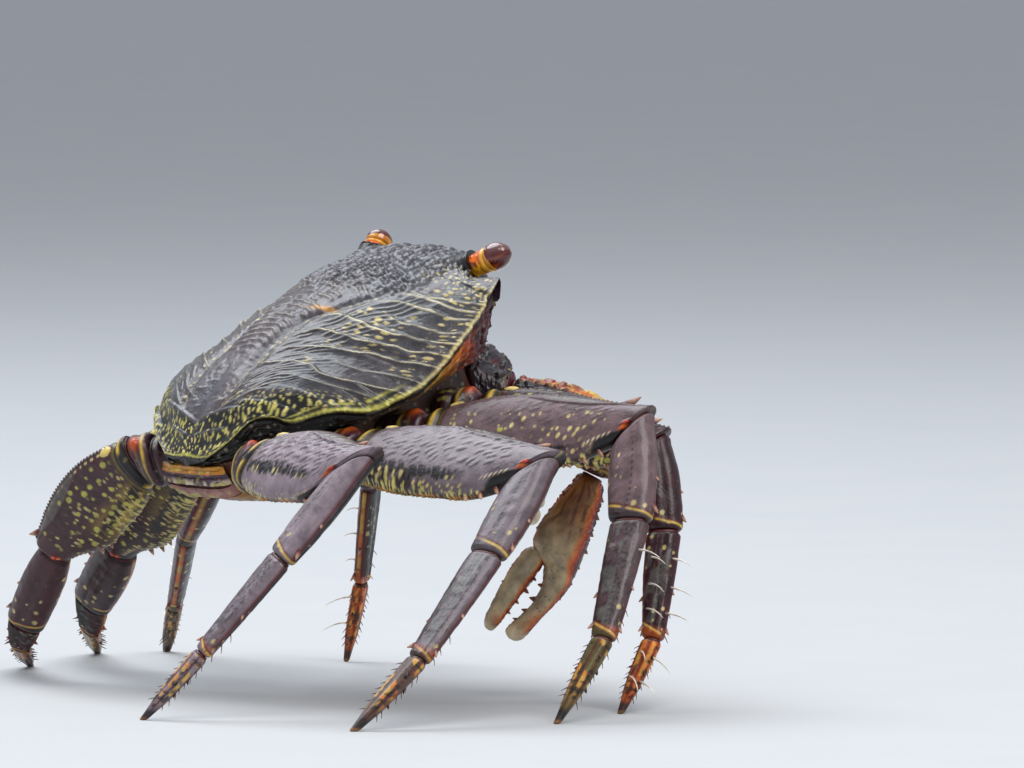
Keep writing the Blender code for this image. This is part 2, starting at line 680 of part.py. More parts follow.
def grow_tubercles(shell, chance):
    """The rows of round tubercles on the front."""
    pieces = []
    for t, places in TUBERCLE_ROWS:
        half = along(MARGIN, t)[0]
        for x in places:
            for sign in (1, -1):
                size = 1 + chance.uniform(-SIZE_SPREAD, SIZE_SPREAD)
                point = body(*back_point(sign * x / half, t))
                ahead = body(*back_point(sign * x / half, t - NEAR)) - point
                beside = body(*back_point(sign * x / half + NEAR, t)) - point
                normal = unit(np.cross(ahead, beside))
                normal *= math.copysign(1, normal @ DORSAL)
                length = TUBERCLE["length"] * size
                ends = (TUBERCLE["radius"] * size, TUBERCLE["root"], TUBERCLE["tip"])
                pieces.append(thorn(point, normal, length, *ends, sides=TUBERCLE["sides"]))
    grow(shell, pieces)


def cap(start, top, count):
    """Triangles that close an end ring, joining the row over the back to the points under it."""
    upper = [start + j for j in range(top)]
    lower = [start + j for j in range(count - 1, top - 1, -1)]
    faces, i, k = [], 0, 0
    while i < len(upper) - 1 or k < len(lower) - 1:
        if k == len(lower) - 1 or (i < len(upper) - 1 and (i + 0.5) / len(upper) <= (k + 1) / len(lower)):
            faces.append((upper[i], upper[i + 1], lower[k]))
            i += 1
        else:
            faces.append((upper[i], lower[k + 1], lower[k]))
            k += 1
    return faces


# Thorax


def belly(y):
    return np.interp(y, [p[0] for p in BELLY], [p[1] for p in BELLY])


def thorax_plan():
    right = list(FACET_CORNERS)
    left = [(-x, y) for x, y in right[::-1]]
    return [(0.0, FACE_Y)] + right + [(0.0, -0.440)] + left


def add_thorax():
    top = SHELL_FLOOR - GAP / WIDTH
    plan = thorax_plan()
    rings = [[(x, y, top) for x, y in plan], [(x, y, belly(y) + 0.045) for x, y in plan]]
    for inset, rise in ((0.86, 0.012), (0.55, 0.0)):
        rings.append([(x * inset, y * (0.4 + 0.6 * inset), belly(y) + rise) for x, y in plan])
    world = [np.array([body(*p) for p in ring]) for ring in rings]
    return loft("thorax", world, "underside")


def facet(side, number):
    """Middle and outward normal of the thorax facet that carries a limb, 1 for the claw arm to 5."""
    (x0, y0), (x1, y1) = FACET_CORNERS[number - 1], FACET_CORNERS[number]
    middle = (side * (x0 + x1) / 2, (y0 + y1) / 2, FACET_HEIGHTS[number - 1])
    normal = body_direction(side * (y0 - y1), x1 - x0, 0.0)
    return body(*middle), normal


def add_abdomen():
    rings = []
    rows = np.array(ABDOMEN)
    for i in range(len(rows)):
        y, z, half, thick = rows[i]
        before, after = rows[max(i - 1, 0)], rows[min(i + 1, len(rows) - 1)]
        run = np.array([after[0] - before[0], after[1] - before[1]])
        out = np.array([run[1], -run[0]]) / np.linalg.norm(run)
        inner = np.array([y, z])
        outer = inner + out * ABDOMEN_THICKNESS * thick
        ring = [
            (-half, *inner),
            (0.0, *inner),
            (half, *inner),
            (half * 0.93, *(inner + 0.55 * (outer - inner))),
            (half * 0.5, *(inner + 0.92 * (outer - inner))),
            (0.0, *outer),
            (-half * 0.5, *(inner + 0.92 * (outer - inner))),
            (-half * 0.93, *(inner + 0.55 * (outer - inner))),
        ]
        rings.append(np.array([body(*p) for p in ring]))
    return loft("abdomen", rings, "underside")


def add_mouthpart(name, side):
    """One of the two plates that close the mouth, standing before the thorax."""
    m = MOUTHPART
    y = FACE_Y + GAP / WIDTH
    rings = []
    for s, narrow in ((0.0, 0.45), (0.25, 0.85), (0.6, 1.0), (1.0, 0.8)):
        z = m["low"] + (m["high"] - m["low"]) * s
        middle, half = (m["inner"] + m["outer"]) / 2, (m["outer"] - m["inner"]) / 2 * narrow
        ring = [
            (side * (middle - half), y + 0.004, z),
            (side * (middle - half), y + m["thick"] * 0.8, z),
            (side * middle, y + m["thick"], z),
            (side * (middle + half), y + m["thick"] * 0.6, z),
            (side * (middle + half), y + 0.004, z),
        ]
        rings.append(np.array([body(*p) for p in ring]))
    return loft(name, rings, "underside")


# Eyes


def round_rings(root, axis, table):
    """Round rings along an axis from a table of distance and radius, in metres."""
    up = unit(DORSAL - (DORSAL @ axis) * axis)
    across = np.cross(axis, up)
    return [oval(root + axis * d, up, across, r, -r, r, EYE_SIDES, 1, 1) for d, r in table]


def add_eye(side_name):
    eye = EYES[side_name]
    root, tip = body(*eye["root"]), body(*eye["tip"])
    axis = unit(tip - root)
    length = np.linalg.norm(tip - root)
    stalk = [(s * length, r * STALK_RADIUS) for s, r in STALK_SHAPE]
    loft("eye_stalk_" + side_name, round_rings(root, axis, stalk), "stalk")
    cornea = [(s * length, r * STALK_RADIUS) for s, r in CORNEA_SHAPE]
    cornea[0] = (cornea[0][0] + GAP, cornea[0][1])
    loft("eye_" + side_name, round_rings(root, axis, cornea), "eye")
    return root, axis


def cut_socket(shell, root, axis, number):
    """Takes the hollow for one eyestalk out of the shell, its floor a gap below the stalk's root."""
    radius = STALK_RADIUS + SOCKET_ROOM
    rings = round_rings(root, axis, [(-GAP, radius), (SOCKET_REACH, radius)])
    cutter = loft(f"socket_{number}", rings, "shell")
    change = shell.modifiers.new("socket", "BOOLEAN")
    change.operation = "DIFFERENCE"
    change.object = cutter
    apply_changes(shell)
    bpy.data.objects.remove(cutter)


def apply_changes(obj):
    """Makes the object's mesh what its modifiers give, and keeps its largest closed surface."""
    graph = bpy.context.evaluated_depsgraph_get()
    mesh = bpy.data.meshes.new_from_object(obj.evaluated_get(graph))
    obj.modifiers.clear()
    obj.data = mesh
    keep_largest(obj)


def keep_largest(obj):
    shape = bmesh.new()
    shape.from_mesh(obj.data)
    seen, groups = set(), []
    for face in shape.faces:
        if face in seen:
            continue
        group, queue = [], [face]
        seen.add(face)
        while queue:
            current = queue.pop()
            group.append(current)
            for edge in current.edges:
                for other in edge.link_faces:
                    if other not in seen:
                        seen.add(other)
                        queue.append(other)
        groups.append(group)
    groups.sort(key=lambda g: -sum(f.calc_area() for f in g))
    for group in groups[1:]:
        bmesh.ops.delete(shape, geom=group, context="FACES")
    bmesh.ops.triangulate(shape, faces=shape.faces[:])
    shape.to_mesh(obj.data)
    shape.free()


# Walking legs


def bend(axis, top, degrees):
    """Axis and top of the next segment, turned down by an angle."""
    turn = math.radians(degrees)
    return math.cos(turn) * axis - math.sin(turn) * top, math.cos(turn) * top + math.sin(turn) * axis


def leg_frames(side, number):
    """Joints of one leg from hip to tip, and each segment's top direction."""
    sign = 1 if side == "right" else -1
    leg = LEGS[number]
    heading, rise, roll = (math.radians(a) for a in POSE[side, number][:3])
    knee, wrist, ankle, swing = POSE[side, number][3:]
    outward = RIGHT * sign
    ahead = np.array([0.0, -1.0, 0.0])
    flat = math.cos(heading) * outward + math.sin(heading) * ahead
    behind = math.sin(heading) * outward - math.cos(heading) * ahead
    axis = math.cos(rise) * flat + math.sin(rise) * UP
    lifted = -math.sin(rise) * flat + math.cos(rise) * UP
    top = math.cos(roll) * lifted - math.sin(roll) * behind
    back = math.cos(roll) * behind + math.sin(roll) * lifted
    x, y, z = leg["hip"]
    joints = [body(sign * x, y, z)]
    axes, tops = [axis], [top]
    axis, top = bend(axis, top, knee)
    axes.append(axis)
    tops.append(top)
    axis, top = bend(axis, top, wrist)
    turn = math.radians(swing)
    axis = math.cos(turn) * axis - math.sin(turn) * back
    axes.append(axis)
    tops.append(top)
    axis, top = bend(axis, top, ankle)
    axes.append(axis)
    tops.append(top)
    for axis, length in zip(axes, leg["lengths"]):
        joints.append(joints[-1] + axis * length * MM)
    return joints, axes, tops


def joint_plane(point, before, after):
    """The plane in which two segments meet: through the joint, square to the mean of their axes."""
    return point, unit(before + after)


def add_leg(side, number, chance):
    sign = 1 if side == "right" else -1
    leg = LEGS[number]
    size, width = leg["size"], leg["width"]
    joints, axes, tops = leg_frames(side, number)
    name = f"leg{number}_{side}"
    root, facing = facet(sign, number)
    first_axis = unit(joints[0] - root)
    hip_plane = joint_plane(joints[0], first_axis, axes[0])
    high, low, thick = (abs(v) / MM for v in merus_shape(width)(0.0))
    coxa = table_shape(COXA_SHAPE + [(1.0, high, low, thick + 0.4)], min(size, 0.95))
    root_plane = (root + facing * GAP / 2, facing)
    ups = (DORSAL, tops[0])
    segment(name + "_coxa", "leg", root, joints[0], ups, coxa, LOWER_SIDES, (root_plane, hip_plane))
    planes = [hip_plane] + [joint_plane(joints[i], axes[i - 1], axes[i]) for i in (1, 2, 3)]
    planes.append((np.array([0.0, 0.0, -GAP / 2]), -UP))
    lower = [even_shape(table, size) for table in (CARPUS_SHAPE, PROPODUS_SHAPE, DACTYLUS_SHAPE)]
    limbs = []
    for i, part in enumerate(("merus", "carpus", "propodus", "dactylus")):
        shape = ([merus_shape(width)] + lower)[i]
        cuts = (planes[i], planes[i + 1])
        ends = (joints[i], joints[i + 1])
        sides = LOWER_SIDES if i else LEG_SIDES
        limbs.append(segment(f"{name}_{part}", "leg", *ends, (tops[i], tops[i]), shape, sides, cuts))
    merus, carpus, propodus, dactylus = limbs
    grow(merus.obj, merus_growths(merus, chance, size, sign))
    grow(carpus.obj, limb_thorns(carpus, CARPUS_THORNS, chance, size, sign))
    grow(propodus.obj, limb_thorns(propodus, PROPODUS_THORNS, chance, size, sign))
    grow(dactylus.obj, limb_thorns(dactylus, DACTYLUS_THORNS, chance, size, sign))


# Claw arms


def add_claw_piece(name, root, axis, up, across, table):
    """Palm or finger: ovals along its axis, their edges and thickness in millimetres."""
    rings = []
    for s, high, low, thick in table:
        centre = root + axis * s * MM
        rings.append(oval(centre, up, across, high * MM, low * MM, thick * MM, CLAW_SIDES, 1.0, 0.9))
    shape = table_shape([(s, high, -low, thick) for s, high, low, thick in table])
    return Limb(loft(name, rings, "claw"), root, root + axis * MM, up, across, shape)


def add_arm(side, chance):
    sign = 1 if side == "right" else -1
    arm = ARMS[side]
    hip, elbow, wrist = (CENTRE + np.array(arm[k]) for k in ("hip", "elbow", "wrist"))
    point = unit(np.array(arm["point"]))
    thumb = np.array(arm["thumb"])
    thumb = unit(thumb - (thumb @ point) * point)
    across = np.cross(point, thumb)
    root, facing = facet(sign, 1)
    axes = [unit(hip - root), unit(elbow - hip), unit(wrist - elbow), point]
    joints = [hip, elbow, wrist]
    planes = [(root + facing * GAP / 2, facing)]
    planes += [joint_plane(joints[i], axes[i], axes[i + 1]) for i in range(3)]
    name = "claw_" + side
    coxa = table_shape(ARM_COXA_SHAPE)
    segment(name + "_coxa", "claw", root, hip, (DORSAL, DORSAL), coxa, LEG_SIDES, planes[0:2])
    top = unit(UP - (UP @ axes[1]) * axes[1])
    shape = table_shape(ARM_MERUS_SHAPE)
    merus = segment(name + "_merus", "claw", hip, elbow, (top, top), shape, LEG_SIDES, planes[1:3])
    grow(merus.obj, limb_thorns(merus, ARM_MERUS_THORNS, chance, 1.0, sign))
    outer = unit(axes[1] - (axes[1] @ axes[2]) * axes[2])
    shape = table_shape(ARM_CARPUS_SHAPE)
    ups = (outer, outer)
    carpus = segment(name + "_carpus", "claw", elbow, wrist, ups, shape, LEG_SIDES, planes[2:4])
    bumps = limb_thorns(carpus, ARM_CARPUS_BUMPS, chance, 1.0, sign)
    grow(carpus.obj, bumps + [arm_spine(carpus, sign)])
    palm_root = wrist + point * GAP
    palm = add_claw_piece(name + "_palm", palm_root, point, thumb, across, PALM_SHAPE)
    grow(palm.obj, limb_thorns(palm, PALM_THORNS, chance, 1.0, sign))
    turn = math.radians(FINGER_TURN)
    finger_axis = unit(math.cos(turn) * point + math.sin(turn) * thumb)
    finger_up = unit(thumb - (thumb @ finger_axis) * finger_axis)
    finger_root = palm_root + point * FINGER_ROOT[0] * MM + thumb * FINGER_ROOT[1] * MM
    finger = add_claw_piece(name + "_finger", finger_root, finger_axis, finger_up, across, FINGER_SHAPE)
    grow(finger.obj, limb_thorns(finger, FINGER_THORNS, chance, 1.0, sign))


def arm_spine(carpus, sign):
    """The strong spine at the inner corner of a claw arm's carpus."""
    x, y, z = ARM_SPINE_TOWARDS
    towards = unit(np.array([sign * x, y, z]))
    s = 0.5
    high, _, thick = carpus.shape(s)
    flat = towards - (towards @ unit(carpus.run)) * unit(carpus.run)
    reach = 1 / math.hypot((flat @ carpus.up) / high, (flat @ carpus.across) / thick)
    point = carpus.start + s * carpus.run + reach * flat
    return thorn(point, towards, **ARM_SPINE)


def centre_on_floor():
    """Moves every node so that the middle of the model's box is over the origin."""
    points = np.array([obj.matrix_world @ v.co for obj in bpy.data.objects for v in obj.data.vertices])
    low, high = points.min(axis=0), points.max(axis=0)
    for obj in bpy.data.objects:
        for vertex in obj.data.vertices:
            vertex.co.x -= (low[0] + high[0]) / 2
            vertex.co.y -= (low[1] + high[1]) / 2


def main():
    for obj in list(bpy.data.objects):
        bpy.data.objects.remove(obj)
    chance = np.random.default_rng(SEED)
    shell = add_carapace()
    grow_tubercles(shell, chance)
    add_thorax()
    add_abdomen()
    for i, side in enumerate(("right", "left")):
        root, axis = add_eye(side)
        cut_socket(shell, root, axis, i)
        add_mouthpart("mouthpart_" + side, 1 if side == "right" else -1)
        add_arm(side, chance)
        for number in LEGS:
            add_leg(side, number, chance)
    centre_on_floor()


main()
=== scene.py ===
import math

import bpy
import numpy as np
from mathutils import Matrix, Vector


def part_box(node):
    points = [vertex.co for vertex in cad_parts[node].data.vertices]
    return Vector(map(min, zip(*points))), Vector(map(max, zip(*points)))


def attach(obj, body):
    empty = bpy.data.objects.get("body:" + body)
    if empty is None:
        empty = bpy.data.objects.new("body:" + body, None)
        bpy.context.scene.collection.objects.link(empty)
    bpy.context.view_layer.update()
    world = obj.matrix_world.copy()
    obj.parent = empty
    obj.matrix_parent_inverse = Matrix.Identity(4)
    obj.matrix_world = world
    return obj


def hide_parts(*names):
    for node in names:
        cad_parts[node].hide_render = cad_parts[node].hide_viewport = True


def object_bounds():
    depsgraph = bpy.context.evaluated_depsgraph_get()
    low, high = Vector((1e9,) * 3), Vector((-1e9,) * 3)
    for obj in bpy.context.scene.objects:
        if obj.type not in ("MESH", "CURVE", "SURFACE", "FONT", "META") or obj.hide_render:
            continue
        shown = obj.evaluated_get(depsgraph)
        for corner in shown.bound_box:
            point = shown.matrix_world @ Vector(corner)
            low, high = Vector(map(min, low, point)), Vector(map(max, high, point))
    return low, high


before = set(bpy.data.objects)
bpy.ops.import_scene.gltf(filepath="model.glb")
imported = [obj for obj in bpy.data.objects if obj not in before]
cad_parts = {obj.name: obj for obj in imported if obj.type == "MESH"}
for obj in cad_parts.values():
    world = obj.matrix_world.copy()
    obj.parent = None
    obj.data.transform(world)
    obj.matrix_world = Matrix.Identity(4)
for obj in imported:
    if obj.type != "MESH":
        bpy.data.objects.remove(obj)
cad_low, cad_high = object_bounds()

# A thin-shelled rock crab (Grapsus tenuicrustatus), life size and still, with the looks of its living skin.
# Places on the body are in carapace widths: x to the crab's right, y forward and z to its back.

WIDTH = 0.070
MM = 0.001
NOSE = math.radians(22.0)
RIGHT = np.array([-1.0, 0.0, 0.0])
FORWARD = np.array([0.0, -math.cos(NOSE), math.sin(NOSE)])
DORSAL = np.array([0.0, math.sin(NOSE), math.cos(NOSE)])
UP = np.array([0.0, 0.0, 1.0])
BODY_HEIGHT = 0.065
# The lowest corner of the thorax's face in its own frame, which shows where the part was moved to
THORAX_FACE = (0.360, -0.275)
GAP = 0.0003


def found_centre():
    """The body's centre: the thorax's box against the place where its corners were drawn."""
    low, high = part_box("thorax")
    face = WIDTH * (THORAX_FACE[0] * FORWARD[1] + THORAX_FACE[1] * DORSAL[1])
    return np.array([(low[0] + high[0]) / 2, low[1] - face, BODY_HEIGHT])


CENTRE = found_centre()


# Numbers and curves


def unit(vector):
    vector = np.asarray(vector, float)
    return vector / np.maximum(np.linalg.norm(vector, axis=-1, keepdims=True), 1e-12)


def body(x, y, z):
    """World points of places in the body's own frame."""
    x, y, z = (np.asarray(v, float)[..., None] for v in (x, y, z))
    return CENTRE + WIDTH * (x * RIGHT + y * FORWARD + z * DORSAL)


def body_direction(x, y, z):
    return unit(x * RIGHT + y * FORWARD + z * DORSAL)


def along(points, t):
    """Points at t from 0 to 1 on a smooth curve through evenly spaced control points."""
    points = np.asarray(points, float)
    last = len(points) - 1
    place = np.clip(t, 0.0, 1.0) * last
    i = np.minimum(place.astype(int), last - 1)
    f = (place - i)[..., None]
    a, b = points[np.maximum(i - 1, 0)], points[i]
    c, d = points[i + 1], points[np.minimum(i + 2, last)]
    square, cube = 2 * a - 5 * b + 4 * c - d, 3 * b - a - 3 * c + d
    return 0.5 * (2 * b + (c - a) * f + square * f**2 + cube * f**3)


def flowing(table, s):
    """Columns of a table at s, its first column, on a smooth curve through its rows."""
    table = np.asarray(table, float)
    knots, values = table[:, 0], table[:, 1:]
    slope = np.gradient(values, knots, axis=0)
    i = np.clip(np.searchsorted(knots, s, side="right") - 1, 0, len(knots) - 2)
    step = (knots[i + 1] - knots[i])[..., None]
    f = np.clip((s - knots[i])[..., None] / step, 0.0, 1.0)
    start, end = values[i], values[i + 1]
    return (
        start * (1 + 2 * f) * (1 - f) ** 2
        + end * f * f * (3 - 2 * f)
        + step * slope[i] * f * (1 - f) ** 2
        - step * slope[i + 1] * f * f * (1 - f)
    )


def smooth(value, low, high):
    """0 below low, 1 above high, and a smooth step between."""
    f = np.clip((value - low) / (high - low), 0.0, 1.0)
    return f * f * (3 - 2 * f)


def fade(value, low, high):
    """1 below low, 0 above high, and a smooth step between."""
    return smooth(-value, -high, -low)


def span(value, low, full, last, high):
    """1 from full to last, 0 below low and above high, and smooth steps between."""
    return smooth(value, low, full) * fade(value, last, high)


def ripple(place, pitch):
    """Cosine waves that repeat at a pitch."""
    return np.cos(place * 2 * math.pi / pitch)


def bell(value, middle, spread):
    return np.exp(-(((value - middle) / spread) ** 2))


NOISE_TABLE = np.random.default_rng(5).random((8, 61, 67))


def noise(x, y, layer=0):
    """Smooth noise from 0 to 1 over a plane."""
    table = NOISE_TABLE[layer % 8]
    x, y = np.broadcast_arrays(np.asarray(x, float), np.asarray(y, float))
    i, j = np.floor(x).astype(int), np.floor(y).astype(int)
    f, g = x - i, y - j
    f, g = f * f * (3 - 2 * f), g * g * (3 - 2 * g)
    rows, columns = table.shape
    a, b = table[i % rows, j % columns], table[(i + 1) % rows, j % columns]
    c, d = table[i % rows, (j + 1) % columns], table[(i + 1) % rows, (j + 1) % columns]
    return (a * (1 - f) + b * f) * (1 - g) + (c * (1 - f) + d * f) * g


def patches(x, y, layer, low, high):
    """Smooth-edged patches over a plane, 1 where the noise is above high and 0 where it is below low."""
    return smooth(noise(x, y, layer), low, high)


def strewn(u, v, size, layer, jitter=0.7):
    """Distance in radii to the nearest of round spots strewn over a plane, about one to each unit square."""
    table, other = NOISE_TABLE[layer % 8], NOISE_TABLE[(layer + 3) % 8]
    u, v = np.broadcast_arrays(np.asarray(u, float), np.asarray(v, float))
    i, j = np.floor(u).astype(int), np.floor(v).astype(int)
    rows, columns = table.shape
    best = np.full(u.shape, 9.0)
    for di in (-1, 0, 1):
        for dj in (-1, 0, 1):
            a, b = (i + di) % rows, (j + dj) % columns
            centre_u = i + di + 0.5 + jitter * (table[a, b] - 0.5)
            centre_v = j + dj + 0.5 + jitter * (other[a, b] - 0.5)
            far = np.hypot(u - centre_u, v - centre_v) / (size * (0.6 + 0.8 * other[b % rows, a % columns]))
            best = np.minimum(best, far)
    return best


def spots(u, v, size=0.3, layer=0, jitter=0.7):
    """1 inside round spots strewn over a plane and 0 between them."""
    return 1 - smooth(strewn(u, v, size, layer, jitter), 0.70, 1.05)


def caps(far):
    """Height from 0 to 1 of round caps, from the distance to their middles in radii."""
    return np.sqrt(np.clip(1 - far**2, 0.0, 1.0))


# Colours


def tone(red, green, blue):
    """Linear colour from screen values of 0 to 255."""
    c = np.array([red, green, blue]) / 255
    return np.where(c <= 0.04045, c / 12.92, ((c + 0.055) / 1.055) ** 2.4)


def mix(a, b, weight):
    return a + (b - a) * np.clip(weight, 0.0, 1.0)[..., None]


def layers(paint, *coats):
    """A colour under others laid over it in turn, each with its weight from 0 to 1."""
    for colour, weight in coats:
        paint = mix(paint, colour, weight)
    return paint


SLATE = tone(66, 67, 73)
SLATE_BROWN = tone(70, 62, 66)
BLACK = tone(18, 15, 17)
PALE_LINE = tone(196, 192, 158)
FRECKLE = tone(198, 186, 122)
YELLOW_GREEN = tone(176, 176, 78)
YELLOW = tone(206, 178, 74)
AMBER = tone(196, 140, 34)
ORANGE = tone(206, 98, 26)
RED = tone(150, 34, 20)
DARK_RED = tone(84, 18, 18)
MAROON = tone(58, 22, 30)
PURPLE = tone(62, 40, 56)
LAVENDER = tone(122, 112, 120)
MAUVE = tone(98, 80, 84)
OLIVE = tone(96, 88, 44)
MUSTARD = tone(176, 122, 20)
CREAM = tone(206, 192, 160)
WHITE = tone(226, 222, 208)
PINK = tone(168, 112, 104)

# Meshes


# Marks of a skin's points: the attribute's kind and field, and the shape of one value
MARKS = {
    "paint": ("FLOAT_COLOR", "color", (3,)),
    "skin": ("FLOAT_VECTOR", "vector", (3,)),
    "dots": ("FLOAT", "value", ()),
    "dry": ("FLOAT", "value", ()),
}


class Piece:
    """One piece of the visual model: parts with their skin's colour, its place in mm, dots and dryness."""

    def __init__(self, name, node, slot, look):
        self.name, self.node, self.slot, self.look = name, node, slot, look
        self.points, self.quads, self.triangles = [], [], []
        self.marks = {name: [] for name in MARKS}
        self.count = 0

    def add(self, points, quads, triangles, paint, skin, dots=0.0, dry=0.0):
        count = len(points)
        quads = np.asarray(quads, int).reshape(-1, 4)
        triangles = np.asarray(triangles, int).reshape(-1, 3)
        if signed_volume(points, quads, triangles) < 0:
            quads, triangles = quads[:, ::-1], triangles[:, ::-1]
        self.points.append(points)
        self.quads.append(quads + self.count)
        self.triangles.append(triangles + self.count)
        for (name, (_, _, shape)), values in zip(MARKS.items(), (paint, skin, dots, dry)):
            self.marks[name].append(np.broadcast_to(values, (count, *shape)))
        self.count += count

    def cover(self, rings, paint, dots=0.0, dry=0.0, skin=None):
        """Adds a closed skin over rings of points. Its place in mm is that of the points or as skin says."""
        shape = rings.shape[:2]
        marks = (np.broadcast_to(paint, rings.shape), rings / MM if skin is None else skin)
        marks += (np.broadcast_to(dots, shape), np.broadcast_to(dry, shape))
        points, quads, triangles, marks = tube(rings, *marks)
        self.add(points, quads, triangles, *marks)

    def make(self):
        points, quads, triangles = (np.concatenate(p) for p in (self.points, self.quads, self.triangles))
        mesh = bpy.data.meshes.new(self.name)
        corners = np.concatenate([quads.ravel(), triangles.ravel()])
        starts = np.concatenate([np.arange(len(quads)) * 4, len(quads) * 4 + np.arange(len(triangles)) * 3])
        mesh.vertices.add(len(points))
        mesh.vertices.foreach_set("co", points.astype(np.float32).ravel())
        mesh.loops.add(len(corners))
        mesh.loops.foreach_set("vertex_index", corners.astype(np.int32))
        mesh.polygons.add(len(starts))
        mesh.polygons.foreach_set("loop_start", starts.astype(np.int32))
        mesh.update(calc_edges=True)
        mesh.validate()
        mesh.shade_smooth()
        for name, (kind, field, _) in MARKS.items():
            values = np.concatenate(self.marks[name])
            if name == "paint":
                values = np.column_stack([values, np.ones(len(values))])
            mark = mesh.attributes.new(name, kind, "POINT")
            mark.data.foreach_set(field, values.astype(np.float32).ravel())
        obj = bpy.data.objects.new(self.name, mesh)
        bpy.context.scene.collection.objects.link(obj)
        mesh.materials.append(self.look)
        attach(obj, "root")
        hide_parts(self.node)
        return obj


def signed_volume(points, quads, triangles):
    points = points - points.mean(axis=0)
    faces = np.concatenate([quads[:, [0, 1, 2]], quads[:, [0, 2, 3]], triangles])
    a, b, c = (points[faces[:, i]] for i in range(3))
    return float((a * np.cross(b, c)).sum())


def ring_quads(rows, columns, closed=True):
    r = np.arange(rows - 1)[:, None] * columns
    c = np.arange(columns if closed else columns - 1)[None, :]
    k = (c + 1) % columns
    a, b = r + c, r + k
    return np.stack([a, b, b + columns, a + columns], axis=-1).reshape(-1, 4)


def tube(points, *marks):
    """A closed skin over rings of points, its ends closed round a middle point, and its marks to match."""
    rows, columns = points.shape[:2]
    count = rows * columns
    c = np.arange(columns)
    k = (c + 1) % columns
    last = count - columns
    ends = [
        np.stack([k, c, np.full(columns, count)], axis=-1),
        np.stack([last + c, last + k, np.full(columns, count + 1)], axis=-1),
    ]
    whole = [np.concatenate([points.reshape(-1, 3), points[:1].mean(axis=1), points[-1:].mean(axis=1)])]
    for mark in marks:
        flat = mark.reshape((count,) + mark.shape[2:])
        whole.append(np.concatenate([flat, flat[:1], flat[-1:]]))
    return whole[0], ring_quads(rows, columns), np.concatenate(ends), whole[1:]


def grid_normals(points, closed):
    """Directions square to a grid of points, one at each."""
    down = np.gradient(points, axis=0)
    if closed:
        across = np.roll(points, -1, axis=1) - np.roll(points, 1, axis=1)
    else:
        across = np.gradient(points, axis=1)
    return unit(np.cross(across, down))


def lifted(points, rise, normals):
    """Points moved along their normals by a rise in millimetres."""
    return points + (rise * MM)[..., None] * normals


def outward(points):
    """As grid_normals for closed rings, turned away from the middle of each."""
    normals = grid_normals(points, True)
    middle = points.mean(axis=1, keepdims=True)
    side = np.sign(((points - middle) * normals).sum())
    return normals * (side if side else 1.0)


def spike(point, towards, length, radius, root=0.7, tip=0.08, curve=(0.0, 0.0, 0.0), sides=8, rings=7):
    """Rings of a smooth thorn in millimetres, rooted under a point of the skin and curved to one side."""
    towards = unit(towards)
    side = unit(np.cross(towards, UP if abs(towards @ UP) < 0.9 else RIGHT))
    other = np.cross(towards, side)
    turn = np.arange(sides) * 2 * math.pi / sides
    made = []
    for f in np.linspace(0.0, 1.0, rings):
        reach = -root + (length + root) * f
        size = radius * (1 - f) ** 0.8 + tip * f
        middle = point + MM * (reach * towards + np.asarray(curve) * length * f * f)
        made.append(middle + size * MM * (np.outer(np.cos(turn), side) + np.outer(np.sin(turn), other)))
    return np.array(made)


def add_spike(piece, rings, foot, point):
    """Adds a thorn whose colour runs from its foot to its point."""
    rows, columns = rings.shape[:2]
    f = np.linspace(0.0, 1.0, rows)[:, None] * np.ones(columns)
    piece.cover(rings, mix(foot, point, smooth(f, 0.3, 0.8)))


# Materials


def socket(tree, target, value):
    if isinstance(value, bpy.types.NodeSocket):
        tree.links.new(value, target)
    else:
        target.default_value = value


def node(tree, kind, inputs, **settings):
    made = tree.nodes.new(kind)
    for key, value in settings.items():
        setattr(made, key, value)
    for key, value in inputs.items():
        socket(tree, made.inputs[key], value)
    return made


def blend_colours(tree, way, factor, a, b):
    made = node(tree, "ShaderNodeMix", {}, data_type="RGBA", blend_type=way)
    for index, value in ((0, factor), (6, a), (7, b)):
        socket(tree, made.inputs[index], value)
    return made.outputs[2]


def attribute(tree, name, output):
    return node(tree, "ShaderNodeAttribute", {}, attribute_name=name).outputs[output]


def carried(tree, value, start, end):
    """A value carried from one range to another."""
    ranges = {"From Min": start[0], "From Max": start[1], "To Min": end[0], "To Max": end[1]}
    return node(tree, "ShaderNodeMapRange", {"Value": value, **ranges}).outputs["Result"]


def worked(tree, way, a, b):
    return node(tree, "ShaderNodeMath", {0: a, 1: b}, operation=way).outputs["Value"]


MOTTLE = (0.3, 0.7)


